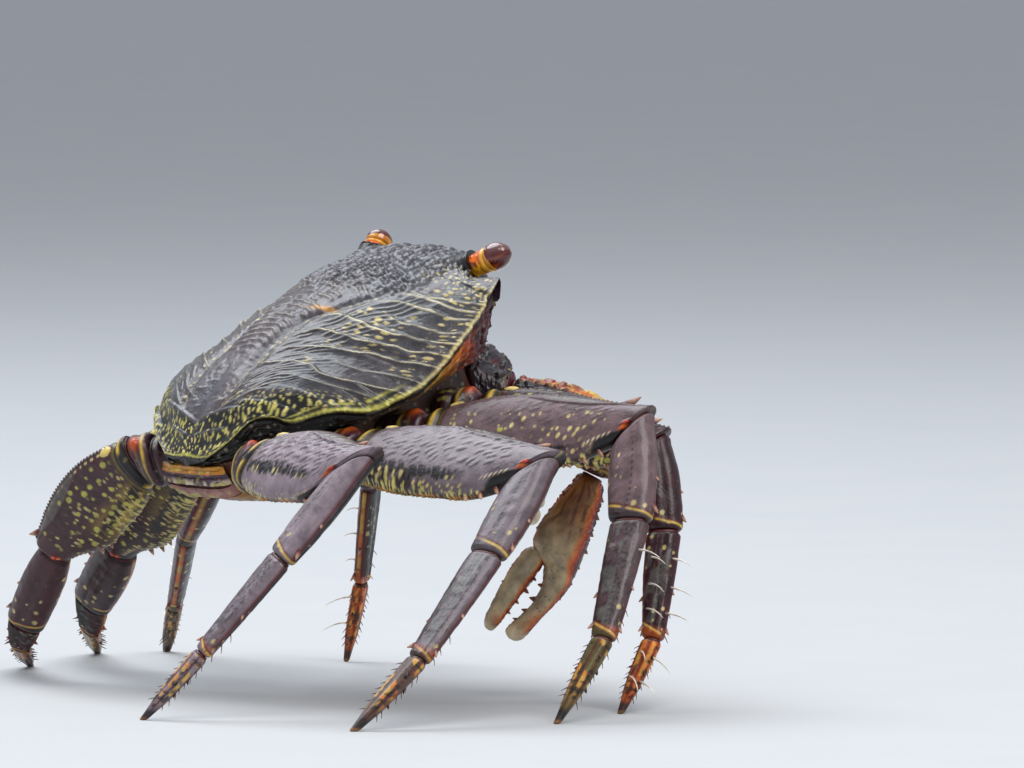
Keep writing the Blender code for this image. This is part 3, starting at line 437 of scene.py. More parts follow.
def skin_look(name, dot, pitch, size, gloss, grain, coat, shine=0.38):
    """Wet shell: painted colour, mottled by noise, with raised dots of one colour where the skin has them.

    pitch is the distance between dots in millimetres, size their radius against it, gloss the least and
    most roughness, grain the height of the fine bumps, coat the wetness and shine the gloss's strength."""
    material = bpy.data.materials.new(name)
    material.use_nodes = True
    tree = material.node_tree
    shader = tree.nodes["Principled BSDF"]
    paint, skin = attribute(tree, "paint", "Color"), attribute(tree, "skin", "Vector")
    dots, dry = attribute(tree, "dots", "Fac"), attribute(tree, "dry", "Fac")
    place = node(tree, "ShaderNodeTexCoord", {}).outputs["Object"]
    mottle, fine = (
        node(tree, "ShaderNodeTexNoise", {"Vector": place, **inputs}).outputs["Fac"]
        for inputs in ({"Scale": 420.0, "Detail": 4.0, "Roughness": 0.6}, {"Scale": 2600.0, "Detail": 2.0})
    )
    shade = carried(tree, mottle, MOTTLE, (0.62, 1.3))
    shades = node(tree, "ShaderNodeCombineXYZ", {"X": shade, "Y": shade, "Z": shade}).outputs["Vector"]
    colour = blend_colours(tree, "MULTIPLY", 1.0, paint, shades)
    tint = blend_colours(tree, "MULTIPLY", 1.0, colour, (1.12, 0.94, 0.90, 1.0))
    colour = blend_colours(tree, "MIX", fine, colour, tint)
    cells = node(tree, "ShaderNodeTexVoronoi", {"Vector": skin, "Scale": 1.0 / pitch, "Randomness": 0.85})
    spot = carried(tree, cells.outputs["Distance"], (size, size * 0.55), (0.0, 1.0))
    spot = worked(tree, "MULTIPLY", spot, dots)
    colour = blend_colours(tree, "MIX", spot, colour, (*dot, 1.0))
    socket(tree, shader.inputs["Base Color"], colour)
    rough = worked(tree, "ADD", carried(tree, mottle, MOTTLE, gloss), dry)
    socket(tree, shader.inputs["Roughness"], rough)
    height = worked(tree, "ADD", fine, spot)
    bumps = node(tree, "ShaderNodeBump", {"Height": height, "Strength": grain, "Distance": 0.2 * MM})
    socket(tree, shader.inputs["Normal"], bumps.outputs["Normal"])
    shader.inputs["Coat Weight"].default_value = coat
    shader.inputs["Coat Roughness"].default_value = 0.12
    shader.inputs["Specular IOR Level"].default_value = shine
    return material


SHELL_LOOK = skin_look("shell_skin", YELLOW_GREEN, 1.0, 0.34, (0.26, 0.44), 0.35, 0.28)
LEG_LOOK = skin_look("leg_skin", PALE_LINE, 1.15, 0.27, (0.28, 0.46), 0.35, 0.14)
DARK_LEG_LOOK = skin_look("dark_leg_skin", YELLOW, 1.9, 0.30, (0.26, 0.44), 0.35, 0.20)
DULL_LEG_LOOK = skin_look("dull_leg_skin", PALE_LINE, 1.15, 0.27, (0.88, 1.0), 0.35, 0.056, 0.152)
CLAW_LOOK = skin_look("claw_skin", CREAM, 1.5, 0.20, (0.30, 0.50), 0.30, 0.15)
BELLY_LOOK = skin_look("belly_skin", CREAM, 1.6, 0.30, (0.32, 0.55), 0.35, 0.12)
STALK_LOOK = skin_look("stalk_skin", DARK_RED, 0.9, 0.22, (0.20, 0.34), 0.25, 0.45)
CORNEA_LOOK = skin_look("cornea_skin", DARK_RED, 0.35, 0.30, (0.08, 0.16), 0.08, 0.8)


# Shell

MARGIN = [
    (0.100, -0.462, -0.133), (0.195, -0.420, -0.088), (0.250, -0.372, -0.052), (0.297, -0.335, -0.058),
    (0.330, -0.309, -0.082), (0.400, -0.228, -0.085), (0.450, -0.147, -0.118), (0.475, -0.080, -0.117),
    (0.485, -0.010, -0.113), (0.485, 0.065, -0.092), (0.470, 0.155, -0.058), (0.445, 0.246, -0.024),
    (0.420, 0.315, 0.008), (0.400, 0.370, 0.030),
]
MIDLINE = [
    (0.0, -0.465, -0.138), (0.0, -0.452, -0.120), (0.0, -0.435, -0.098), (0.0, -0.415, -0.078),
    (0.0, -0.395, -0.060), (0.0, -0.345, -0.022), (0.0, -0.285, 0.018), (0.0, -0.235, 0.043),
    (0.0, -0.180, 0.066), (0.0, -0.110, 0.087), (0.0, -0.020, 0.103), (0.0, 0.120, 0.119),
    (0.0, 0.280, 0.112), (0.0, 0.440, 0.068),
]
ROW_BEND = 1.4
DOME_POWER = 2.1
REAR_FLATNESS = (2.5, 0.30, 0.22)
BRANCHIAL_RISE = (0.035, 0.32, 0.16)
GROOVE = [
    (0.30, 0.240), (0.40, 0.240), (0.50, 0.215), (0.60, 0.190), (0.68, 0.205),
    (0.73, 0.230), (0.76, 0.310), (0.80, 0.430), (0.85, 0.620),
]
NOTCH = (0.011, 0.912, 0.010)
MARGIN_SAW = 0.006
LOBES = ((0.065, 0.040), (0.190, 0.050))
LOBE_RISE = (0.012, 0.955, 0.025)
SHELL_FLOOR = -0.150
FACE_Y = 0.360
EYE_SOCKET = 0.80
EYE_SOCKET_WIDTH = 0.13
EYE_SOCKET_DEPTH = 0.055
FACE_ROWS = ((0.026, 0.022, 0.000, 0.010), (0.063, 0.032, 0.006, 0.024), (0.105, 0.018, 0.016, 0.044))
TUBERCLE_ROWS = [
    (0.930, (0.060, 0.125, 0.190)),
    (0.950, (0.030, 0.095, 0.160, 0.220)),
    (0.972, (0.065, 0.125, 0.190)),
    (0.992, (0.035, 0.100, 0.160)),
]
EYES = {
    "right": dict(root=(0.235, 0.362, 0.045), tip=(0.372, 0.436, 0.078)),
    "left": dict(root=(-0.235, 0.362, 0.045), tip=(-0.262, 0.452, 0.100)),
}
STALK_RADIUS = 2.2 * MM
SOCKET_ROOM = 0.8 * MM


def saw(place, crests, tail, steep):
    """Height from 0 to 1 of ridges with a steep front and a long slope behind."""
    knots = []
    for i, crest in enumerate(crests):
        back = min(tail, crest - crests[i - 1] - steep) if i else tail
        knots += [(crest - back, 0.0), (crest - steep * 0.3, 1.0)]
        knots += [(crest + steep * 0.3, 0.9), (crest + steep, 0.0)]
    return np.interp(place, [k[0] for k in knots], [k[1] for k in knots])


def shell_base(s, t):
    """The smooth back, in carapace widths, for grids of s and t."""
    edge, middle = along(MARGIN, t), along(MIDLINE, t)
    edge_x = edge[..., 0] + MARGIN_SAW * saw(t, MARGIN_TEETH, 0.04, 0.007) - NOTCH[0] * bell(t, *NOTCH[1:])
    across = np.abs(s)
    power = DOME_POWER + REAR_FLATNESS[0] * bell(t, *REAR_FLATNESS[1:])
    x = edge_x * s
    y = middle[..., 1] + (edge[..., 1] - middle[..., 1]) * across**ROW_BEND
    z = middle[..., 2] + (edge[..., 2] - middle[..., 2]) * across**power
    z += BRANCHIAL_RISE[0] * bell(t, *BRANCHIAL_RISE[1:]) * 4 * across * (1 - across)
    z += LOBE_RISE[0] * bell(t, *LOBE_RISE[1:]) * sum(bell(np.abs(x), *lobe) for lobe in LOBES)
    y -= EYE_SOCKET_DEPTH * bell(across, EYE_SOCKET, EYE_SOCKET_WIDTH) * np.maximum(0.0, (t - 0.90) / 0.10)
    return x, y, z


# Teeth of the margin: their places along the shell
MARGIN_TEETH = (0.335, 0.395, 0.455, 0.51, 0.575, 0.635, 0.69, 0.735, 0.772, 0.812, 0.845, 0.88)
# Striae: place along the shell from the margin inwards in steps of 0.15, inner and outer end, strength
STRIAE = [
    ((0.885, 0.857, 0.841, 0.836, 0.834, 0.830, 0.830), 0.60, 1.2, 0.7),
    ((0.858, 0.839, 0.836, 0.822, 0.820, 0.820, 0.820), 0.58, 1.2, 0.8),
    ((0.837, 0.816, 0.813, 0.797, 0.785, 0.780, 0.780), 0.52, 1.2, 0.8),
    ((0.800, 0.774, 0.769, 0.765, 0.760, 0.760, 0.760), 0.62, 1.2, 0.7),
    ((0.766, 0.740, 0.731, 0.737, 0.739, 0.730, 0.720), 0.30, 1.2, 1.0),
    ((0.728, 0.701, 0.690, 0.689, 0.680, 0.655, 0.640), 0.26, 1.2, 1.0),
    ((0.690, 0.661, 0.646, 0.626, 0.609, 0.588, 0.570), 0.26, 1.2, 0.9),
    ((0.625, 0.598, 0.572, 0.598, 0.600, 0.600, 0.600), 0.60, 1.2, 0.5),
    ((0.560, 0.522, 0.499, 0.524, 0.514, 0.485, 0.470), 0.20, 1.2, 0.9),
    ((0.500, 0.478, 0.455, 0.452, 0.450, 0.440, 0.440), 0.50, 1.2, 0.4),
    ((0.430, 0.425, 0.420, 0.420, 0.415, 0.372, 0.364), 0.10, 0.52, 0.35),
    ((0.400, 0.400, 0.390, 0.383, 0.340, 0.312, 0.300), 0.18, 0.62, 0.35),
]
STRIA_SPAN = 0.90
SHELL_LENGTH = 62.0
SHELL_SIDE = 33.0
# How far forward the dark dotted band reaches, from the middle out to the margin
DARK_BAND = [
    (0.00, 0.285), (0.35, 0.290), (0.47, 0.318), (0.62, 0.345),
    (0.76, 0.365), (0.88, 0.410), (0.93, 0.455), (0.97, 0.515), (1.00, 0.60),
]
REAR_CRESTS = (0.302, 0.182)


def ridge_profile(behind, back, front):
    """A ridge's height from 0 to 1: a long hollow slope behind its crest and a steep front, in mm."""
    tail = np.clip(1 + behind / back, 0.0, 1.0) ** 1.8
    return np.where(behind < 0, tail, np.clip(1 - behind / front, 0.0, 1.0))


def shell_reach(across, t):
    """Millimetres along the shell from its rear edge, for grids of the share across it and of t."""
    fine = np.linspace(0.0, 1.0, 201)
    lengths = []
    for line in (MIDLINE, MARGIN):
        steps = np.linalg.norm(np.diff(along(line, fine), axis=0), axis=1)
        lengths.append(np.interp(t, fine, np.concatenate([[0.0], np.cumsum(steps)])) * WIDTH / MM)
    return lengths[0] + (lengths[1] - lengths[0]) * across**ROW_BEND


def shell_marks(s, t):
    """Rise in millimetres and colour of the back for grids of s and t."""
    across = np.abs(s)
    edge = along(MARGIN, t)[..., 0]
    x = s * edge / 0.48
    wide = s * edge * WIDTH / MM
    length, side = t * SHELL_LENGTH, across * SHELL_SIDE
    reach_mm = shell_reach(across, t)
    hand = np.where(s < 0, 7.3, 0.0)
    groove = np.interp(t, [g[0] for g in GROOVE], [g[1] for g in GROOVE])
    ends = span(t, 0.28, 0.34, 0.78, 0.84)
    wander = 1.3 * (noise(side * 0.16 + hand, length * 0.14, 1) - 0.5)
    wander += 0.5 * (noise(side * 0.5 + hand, length * 0.25, 2) - 0.5)
    crest, line, freckles, shade = (np.zeros_like(t) for _ in range(4))
    for i, (places, inner_end, outer_end, strength) in enumerate(STRIAE):
        place = along(np.array(places)[:, None], (1 - across) / STRIA_SPAN)[..., 0]
        behind = (t - place) * SHELL_LENGTH + wander
        reach = smooth(across, inner_end - 0.05, inner_end + 0.14) * smooth(outer_end - across, 0.0, 0.12)
        crest = np.maximum(crest, strength * reach * ridge_profile(behind, 1.9, 0.40))
        # Painted shade in front of each stria's steep crest
        shade = np.maximum(shade, strength * reach * bell(behind, 0.48, 0.24))
        dash = 0.35 + 0.65 * patches(side * 0.9 + 5 * i + hand, i * 1.7, 4, 0.30, 0.50)
        line = np.maximum(line, strength * reach * dash * (1 - smooth(np.abs(behind + 0.05), 0.06, 0.24)))
        dot = spots(side / 2.1 + 3.3 * i + hand, (behind - 1.5) / 0.9 + 0.5, 0.27, i, 0.55) * reach
        dot *= (np.abs(behind - 1.5) < 0.9) * smooth(across, inner_end + 0.02, inner_end + 0.2)
        freckles = np.maximum(freckles, dot * patches(side * 0.3 + 2 * i + hand, i, 6, 0.40, 0.6))
    # Fine slanting ridges between the striae's inner ends and the groove
    slant = length + 0.75 * (SHELL_SIDE - side) + 1.6 * (noise(side * 0.30, length * 0.30, 2) - 0.5)
    fine = ridge_profile((slant % 1.30) - 0.95, 0.95, 0.35)
    broken = patches(side * 0.45 + 9 + hand, slant * 0.9, 6, 0.28, 0.52)
    fan = smooth(across - groove, 0.02, 0.10) * (1 - smooth(across - groove, 0.26, 0.52))
    fan *= span(t, 0.33, 0.44, 0.76, 0.88)
    fine = fine * fan * broken
    # The middle: wavy broken ridges, and finer ones behind them
    inner = smooth(groove - across, -0.03, 0.07)
    wave = reach_mm + 1.5 * (noise(x * 8 + 3, t * 8, 3) - 0.5) + 0.6 * (noise(x * 20, t * 12, 4) - 0.5)
    ridge = np.floor(wave / 1.55)
    parts = patches(x * 14 + 2.7 * ridge, ridge * 1.9, 5, 0.22, 0.42)
    middle = ridge_profile((wave % 1.55) - 1.15, 1.15, 0.40) * parts * inner
    middle *= span(t, 0.55, 0.64, 0.82, 0.88)
    run = reach_mm + 1.6 * (noise(x * 9 + 3, t * 12, 3) - 0.5)
    heart = ridge_profile((run % 1.5) - 1.15, 1.15, 0.35) * inner * patches(x * 17, run * 0.7, 6, 0.45, 0.7)
    heart *= fade(t, 0.62, 0.70) * smooth(t, 0.30, 0.36)
    rear = sum(ridge_profile(place_mm, 1.4, 0.35) for place_mm in ((t - c) * 32 for c in REAR_CRESTS))
    rear = rear * fade(across, 0.45, 0.62) * (0.5 + 0.5 * patches(x * 6 + 1, 0.2, 4, 0.1, 0.4))
    rise = 0.46 * crest + 0.20 * fine + 0.38 * middle + 0.12 * heart + 0.35 * rear
    rise -= 0.55 * ends * bell(across, groove, 0.045)
    rise += 0.28 * (noise(x * 9, t * 10, 5) - 0.5) + 0.12 * (noise(x * 30, t * 34, 6) - 0.5)
    rise += 0.06 * noise(x * 85, t * 110, 7)
    # Colour, paler in the middle and at the rear than at the sides; the darker sides are painted shade
    paint = mix(SLATE, SLATE_BROWN, 1.5 * noise(x * 5, t * 5, 2) - 0.25)
    # Painted shade: the sides darkened against the paler middle
    paint = paint * (1.30 - 0.66 * smooth(across - groove, -0.02, 0.16))[..., None]
    paint = mix(paint, SLATE * 0.55, 0.6 * bell(across, groove, 0.03) * ends)
    creases = bell(across, groove, 0.011) + 0.5 * bell(across, groove + 0.055, 0.009)
    paint = layers(
        paint,
        (BLACK, 0.85 * creases * ends * patches(length * 0.3, hand, 5, 0.1, 0.3)),
        (SLATE * 0.6, 0.45 * (noise(x * 40, t * 60, 1) > 0.62) * smooth(t, 0.7, 0.85)),
        # painted shade in front of the striae's crests
        (SLATE * 0.35, 0.75 * shade),
        (PALE_LINE, 0.85 * line),
        # painted highlight on the crests of the fine and middle ridges
        (PALE_LINE * 0.8, 0.30 * smooth(fine, 0.6, 0.9) + 0.35 * smooth(middle, 0.6, 0.9)),
        # painted shade between the middle ridges
        (SLATE * 0.45, 0.6 * inner * span(t, 0.62, 0.70, 0.82, 0.90) * fade(middle, 0.02, 0.22)),
    )
    beside = spots(wide / 1.5 + hand, reach_mm / 1.7, 0.24, 2) * bell(across, groove + 0.03, 0.028) * ends
    freckles = np.maximum(freckles, beside)
    paint = mix(paint, FRECKLE, 0.8 * freckles)
    streak = bell(length, 47.4, 0.35) * bell(x, 0.24, 0.085)
    paint = mix(paint, AMBER, 0.9 * streak)
    # The dark band with its yellow-green dashes, and the margin's line
    limit = np.interp(across, [b[0] for b in DARK_BAND], [b[1] for b in DARK_BAND])
    inward = (1 - across) * SHELL_SIDE
    dark = smooth(limit - t + 0.02 * (noise(x * 26, t * 26, 1) - 0.5), -0.012, 0.006)
    paint = layers(
        paint,
        (SLATE * 0.5, 0.6 * smooth(limit - t, -0.05, 0.0) * smooth(across, 0.3, 0.5)),
        (BLACK * 0.7, dark),
        # painted highlight along the rear crests
        (SLATE * 1.5, 0.8 * np.clip(rear * 1.6 - 0.6, 0.0, 1.0) * (1 - bell(x, 0.0, 0.04))),
    )
    dashes = spots(wide / 1.10, reach_mm / 1.75 + 0.4 * np.sin(wide), 0.25, 3, 0.9)
    dashes = np.maximum(dashes, spots(wide / 1.7 + 0.5, reach_mm / 1.2, 0.15, 5, 0.9))
    # no dashes on the rear crests' painted highlight
    dashes *= 1 - np.clip(rear * 1.6 - 0.6, 0.0, 1.0)
    paint = mix(paint, mix(YELLOW_GREEN, FRECKLE, noise(wide, reach_mm, 3)) * 1.2, dark * dashes)
    halo = smooth(limit + 0.045 - t, 0.0, 0.02) * (1 - dark) * smooth(across, 0.42, 0.55)
    paint = mix(paint, FRECKLE, 0.8 * halo * spots(wide / 0.9, reach_mm / 0.9, 0.22, 5))
    beads = 0.80 + 0.20 * ripple(reach_mm, 1.15)
    thick = 0.26 + 0.20 * fade(t, 0.45, 0.62)
    paint = mix(paint, BLACK * 0.6, 0.9 * bell(inward, 1.15, 0.32) * fade(t, 0.6, 0.72))
    edge_line = bell(inward, 0.30, thick) * fade(t, 0.93, 1.0)
    inner_line = (
        bell(inward, 1.75, 0.24) * fade(t, 0.52, 0.62) * patches(reach_mm * 0.35, hand, 3, 0.25, 0.45)
    )
    paint = layers(
        paint,
        (YELLOW_GREEN, 0.9 * inner_line),
        (mix(YELLOW_GREEN * 1.15, FRECKLE, smooth(t, 0.5, 0.7)), edge_line * beads),
    )
    rear_line = bell(reach_mm, 1.0, 0.26) * smooth(inward, 0.3, 0.8)
    paint = layers(paint, (YELLOW_GREEN * 1.1, rear_line), (BLACK * 0.6, fade(reach_mm, 0.45, 0.7)))
    front = smooth(t, 0.885, 0.92) * fade(np.abs(x), 0.42, 0.52)
    paint = mix(paint, SLATE * 0.7, 0.5 * front)
    orbit = smooth(t, 0.87, 0.90) * smooth(np.abs(x), 0.45, 0.52)
    short = spots(wide / 1.1, reach_mm / 2.0, 0.26, 6) * orbit
    paint = mix(paint, FRECKLE, 0.7 * short * smooth(inward, 1.0, 1.6))
    brow = smooth(t, 0.935, 0.965) * bell(across, 0.68, 0.12)
    knobs = caps(strewn(wide / 2.0, reach_mm / 1.7, 0.60, 4, 0.5))
    paint = mix(paint, BLACK, 0.85 * brow)
    rise += 0.10 * edge_line * beads + 0.10 * dark * dashes + 0.08 * freckles + 0.75 * brow * knobs
    return rise, paint


def tubercles(s, t):
    """Rise of the round tubercles on the front: the named ones, and small ones strewn round them."""
    x = s * along(MARGIN, t)[..., 0]
    wide, reach_mm = x * WIDTH / MM, shell_reach(np.abs(s), t)
    far = strewn(wide / 1.75, reach_mm / 1.45, 0.50, 2, 0.5)
    spread = smooth(t, 0.80, 0.86) * fade(np.abs(x), 0.24, 0.29)
    rise = 0.62 * caps(far) * spread
    for place_t, places in TUBERCLE_ROWS:
        for place in places:
            far = np.hypot((np.abs(x) - place) * WIDTH / MM / 0.95, (t - place_t) * SHELL_LENGTH / 0.70)
            rise = np.maximum(rise, 0.85 * caps(far))
    return rise


def shell_rows():
    """Places along the shell, closer together where the striae are."""
    t = np.linspace(0.0, 1.0, 4001)
    density = 1.0 + 0.45 * smooth(t, 0.25, 0.35) + 0.5 * smooth(t, 0.66, 0.72)
    length = np.linalg.norm(np.gradient(along(MIDLINE, t), t, axis=0), axis=-1)
    length += np.linalg.norm(np.gradient(along(MARGIN, t), t, axis=0), axis=-1)
    total = np.cumsum(density * length)
    total = (total - total[0]) / (total[-1] - total[0])
    return np.interp(np.linspace(0.0, 1.0, SHELL_ROWS), total, t)


SHELL_ROWS = 318
SHELL_HALF = 134
FRONT_STEPS = 26
FRONT_HALF = (0.196, 0.236)


def zip_ends(upper, lower):
    """Triangles between two rows of points of different counts."""
    faces, i, k = [], 0, 0
    while i < len(upper) - 1 or k < len(lower) - 1:
        if k == len(lower) - 1 or (i < len(upper) - 1 and (i + 1) / len(upper) <= (k + 1) / len(lower)):
            faces.append((upper[i], upper[i + 1], lower[k]))
            i += 1
        else:
            faces.append((upper[i], lower[k + 1], lower[k]))
            k += 1
    return faces


def push_out(points, root, axis, radius):
    """Points inside a cylinder round an eyestalk, moved out to its wall."""
    offset = points - root
    reach = offset @ axis
    flat = offset - reach[..., None] * axis
    far = np.linalg.norm(flat, axis=-1)
    near = (far < radius) & (reach > -0.4 * MM)
    goal = np.where(near, radius, far)
    return root + reach[..., None] * axis + flat * (goal / np.maximum(far, 1e-9))[..., None], near


def eye_axis(side):
    eye = EYES[side]
    root, tip = body(*eye["root"]), body(*eye["tip"])
    return root, unit(tip - root), np.linalg.norm(tip - root)


def make_shell():
    t = shell_rows()
    half = np.linspace(0.0, 1.0, SHELL_HALF)
    half = half + 0.06 * np.sin(half * math.pi) * half
    columns = np.concatenate([-half[:0:-1], half])
    grid_s, grid_t = np.meshgrid(columns, t)
    x, y, z = shell_base(grid_s, grid_t)
    rise, paint = shell_marks(grid_s, grid_t)
    bumps = tubercles(grid_s, grid_t)
    rise = rise + bumps
    # Painted shade between the front tubercles and painted highlight on their tops
    tubercle_shade_zone = smooth(grid_t, 0.82, 0.87) * fade(np.abs(x), 0.24, 0.29)
    paint = layers(
        paint,
        (SLATE * 0.40, 0.75 * tubercle_shade_zone * fade(bumps, 0.02, 0.20)),
        (SLATE * 1.4, 0.7 * tubercle_shade_zone * smooth(bumps, 0.25, 0.55)),
    )
    base = body(x, y, z)
    # The turned-down front, then everything is raised by its relief
    last = (x[-1], y[-1], z[-1])
    down = np.linspace(0.0, 1.0, FRONT_STEPS + 1)[1:]
    table = [(0.0, 0.0, 0.0, 0.0, 0.0)] + [((i + 1) / 3, *row) for i, row in enumerate(FACE_ROWS)]
    drop = flowing(table, down)
    inside = 1 - smooth(np.abs(last[0]), *FRONT_HALF)
    fall = drop[:, 0:1] * inside + drop[:, 3:4] * (1 - inside)
    ahead = drop[:, 1:2] * inside - drop[:, 2:3] * (1 - inside)
    front = body(last[0] + 0 * fall, last[1] + ahead, last[2] - fall)
    points = np.concatenate([base, front])
    normals = grid_normals(points, False)
    normals *= np.sign(normals[SHELL_ROWS // 2, SHELL_HALF] @ DORSAL)
    front_x = last[0][None, :] + 0 * fall
    front_rise = 0.18 * (noise(front_x * 90, down[:, None] * 9, 1) - 0.3) * inside
    front_rise += 0.5 * bell(down[:, None], 0.86, 0.10) * inside
    rise = np.concatenate([rise, front_rise])
    edge_fade = smooth(1 - np.abs(columns), 0.0, 0.03)
    points = lifted(points, rise * (0.35 + 0.65 * edge_fade), normals)
    front_paint = mix(SLATE * 0.8, PURPLE, down[:, None] + 0 * front_x)
    front_paint = mix(front_paint, ORANGE, 0.75 * smooth(down[:, None] + 0 * front_x, 0.80, 0.95) * inside)
    front_paint = mix(front_paint, mix(BLACK, PURPLE, down[:, None] + 0 * front_x), 1 - inside)
    paint = np.concatenate([paint, front_paint])
    for side in EYES:
        root, axis, _ = eye_axis(side)
        points, near = push_out(points, root, axis, STALK_RADIUS + SOCKET_ROOM)
        paint = mix(paint, BLACK, 0.9 * near)
    # The underside: a coarse inner skin that closes the shell under its edge
    under = []
    for inset, fall in ((0.006, 0.006), (0.020, 0.014), (0.10, 0.03)):
        for sign in (1, -1):
            edge = points[:, -1 if sign > 0 else 0]
            under.append(edge - sign * inset * WIDTH * RIGHT - fall * WIDTH * DORSAL)
    middle = points[:, SHELL_HALF - 1] - 0.06 * WIDTH * DORSAL
    inner = np.stack([under[0], under[2], under[4], middle, under[5], under[3], under[1]], axis=1)
    rings = np.concatenate([points, inner], axis=1)
    rows, count = rings.shape[:2]
    top = points.shape[1]
    paint = np.concatenate([paint, np.broadcast_to(BLACK, (rows, count - top, 3))], axis=1)
    faces = []
    for start in (0, (rows - 1) * count):
        faces += zip_ends(
            list(range(start, start + top)), list(range(start + count - 1, start + top - 1, -1))
        )
    faces = np.array(faces)
    faces[: len(faces) // 2] = faces[: len(faces) // 2, ::-1]
    piece = Piece("shell_back", "carapace", "shell", SHELL_LOOK)
    flat = rings.reshape(-1, 3)
    piece.add(flat, ring_quads(rows, count), faces, paint.reshape(-1, 3), flat / MM)
    piece.make()


make_shell()


# Limbs

LEGS = {
    2: dict(hip=(0.395, 0.180, -0.268), lengths=(33.0, 17.0, 21.0, 16.0), width=13.2, size=0.88),
    3: dict(hip=(0.450, -0.020, -0.245), lengths=(39.5, 19.0, 24.5, 18.0), width=14.4, size=1.02),
    4: dict(hip=(0.430, -0.220, -0.212), lengths=(40.5, 19.5, 25.0, 18.5), width=15.2, size=1.00),
    5: dict(hip=(0.290, -0.440, -0.154), lengths=(32.0, 20.5, 22.0, 16.0), width=14.4, size=0.90),
}
# Heading, elevation, roll, bends at carpus, propodus and dactylus, and swing of the propodus, in degrees
POSE = {
    ("right", 2): (45.0, -10.0, 27.0, 70.0, 11.0, 17.0, 0.0),
    ("right", 3): (40.0, 3.0, 31.0, 86.0, 8.0, 16.0, -4.0),
    ("right", 4): (21.0, -2.0, 42.0, 92.0, 1.0, 12.0, -3.0),
    ("right", 5): (3.0, 2.0, 35.0, 111.0, 0.0, 4.0, -1.0),
    ("left", 2): (48.0, -8.0, 14.0, 46.0, 16.0, 15.0, 1.0),
    ("left", 3): (21.0, -19.0, 20.0, 17.0, 0.0, 0.0, 8.0),
    ("left", 4): (10.0, -33.0, -43.0, 1.0, 0.0, 7.0, 25.0),
    ("left", 5): (-5.0, -36.0, -47.0, 12.0, 1.0, 11.0, 34.0),
}
# Shapes along a segment: its place, and in millimetres rise above its axis, drop below it, half thickness.
# A merus is given against its width, the lower segments for a leg of size 1.
MERUS_SHAPE = [
    (0.00, 0.30, 0.28, 0.20), (0.10, 0.38, 0.36, 0.20), (0.28, 0.49, 0.46, 0.19), (0.50, 0.52, 0.48, 0.19),
    (0.74, 0.45, 0.44, 0.19), (0.88, 0.37, 0.26, 0.19), (1.00, 0.30, 0.17, 0.18),
]
CARPUS_SHAPE = [(0.00, 3.3, 3.3, 2.7), (0.25, 4.1, 4.1, 2.8), (0.65, 4.3, 4.3, 2.6), (1.00, 3.9, 3.9, 2.1)]
PROPODUS_SHAPE = [(0.00, 3.5, 3.5, 1.9), (0.35, 3.3, 3.3, 1.8), (0.75, 2.7, 2.7, 1.6), (1.00, 2.3, 2.3, 1.5)]
DACTYLUS_SHAPE = [
    (0.0, 1.95, 1.95, 1.45), (0.3, 1.75, 1.75, 1.35), (0.65, 1.3, 1.3, 1.1), (0.88, 0.8, 0.8, 0.75),
    (1.0, 0.55, 0.55, 0.55),
]
COXA_SHAPE = [(0.00, 4.1, 5.0, 4.9), (0.35, 3.9, 5.2, 4.7), (0.60, 4.3, 5.2, 4.4)]
FACET_CORNERS = [
    (0.150, 0.360), (0.270, 0.235), (0.315, 0.060), (0.312, -0.120), (0.262, -0.300), (0.135, -0.440),
]
FACET_HEIGHTS = [-0.245, -0.245, -0.235, -0.212, -0.190]
OVAL_EDGE = 0.92
OVAL_FACE = 0.80
# Thorns: place along the segment, turn from its top edge to the rear in degrees, length, radius, lean in mm
MERUS_THORNS = [
    (0.945, 0, 2.3, 1.05, 1.3), (0.78, 0, 0.6, 0.65, 0.8), (0.60, 0, 0.5, 0.65, 0.8),
    (0.42, 0, 0.5, 0.65, 0.8), (0.70, 178, 1.0, 0.70, 0.7), (0.77, 178, 1.3, 0.75, 0.7),
    (0.84, 178, 1.5, 0.80, 0.7),
]
CARPUS_THORNS = [(0.86, 0, 1.3, 0.80, 1.2), (0.55, 0, 0.6, 0.60, 0.8)]
PROPODUS_THORNS = [
    (0.90, 0, 1.1, 0.65, 1.2), (0.55, 0, 0.7, 0.55, 1.0), (0.62, 180, 0.9, 0.55, 0.9),
    (0.90, 150, 1.2, 0.60, 1.1), (0.90, 210, 1.2, 0.60, 1.1),
]
DACTYLUS_THORNS = [
    (0.20, 35, 0.8, 0.48, 0.9), (0.42, 35, 0.7, 0.45, 0.9), (0.62, 35, 0.6, 0.40, 0.9),
    (0.32, -45, 0.7, 0.46, 0.9), (0.54, -45, 0.6, 0.42, 0.9), (0.36, 180, 0.7, 0.45, 0.9),
]
THORNS = {
    "merus": MERUS_THORNS,
    "carpus": CARPUS_THORNS,
    "propodus": PROPODUS_THORNS,
    "dactylus": DACTYLUS_THORNS,
}


def bend(axis, top, degrees):
    turn = math.radians(degrees)
    return math.cos(turn) * axis - math.sin(turn) * top, math.cos(turn) * top + math.sin(turn) * axis


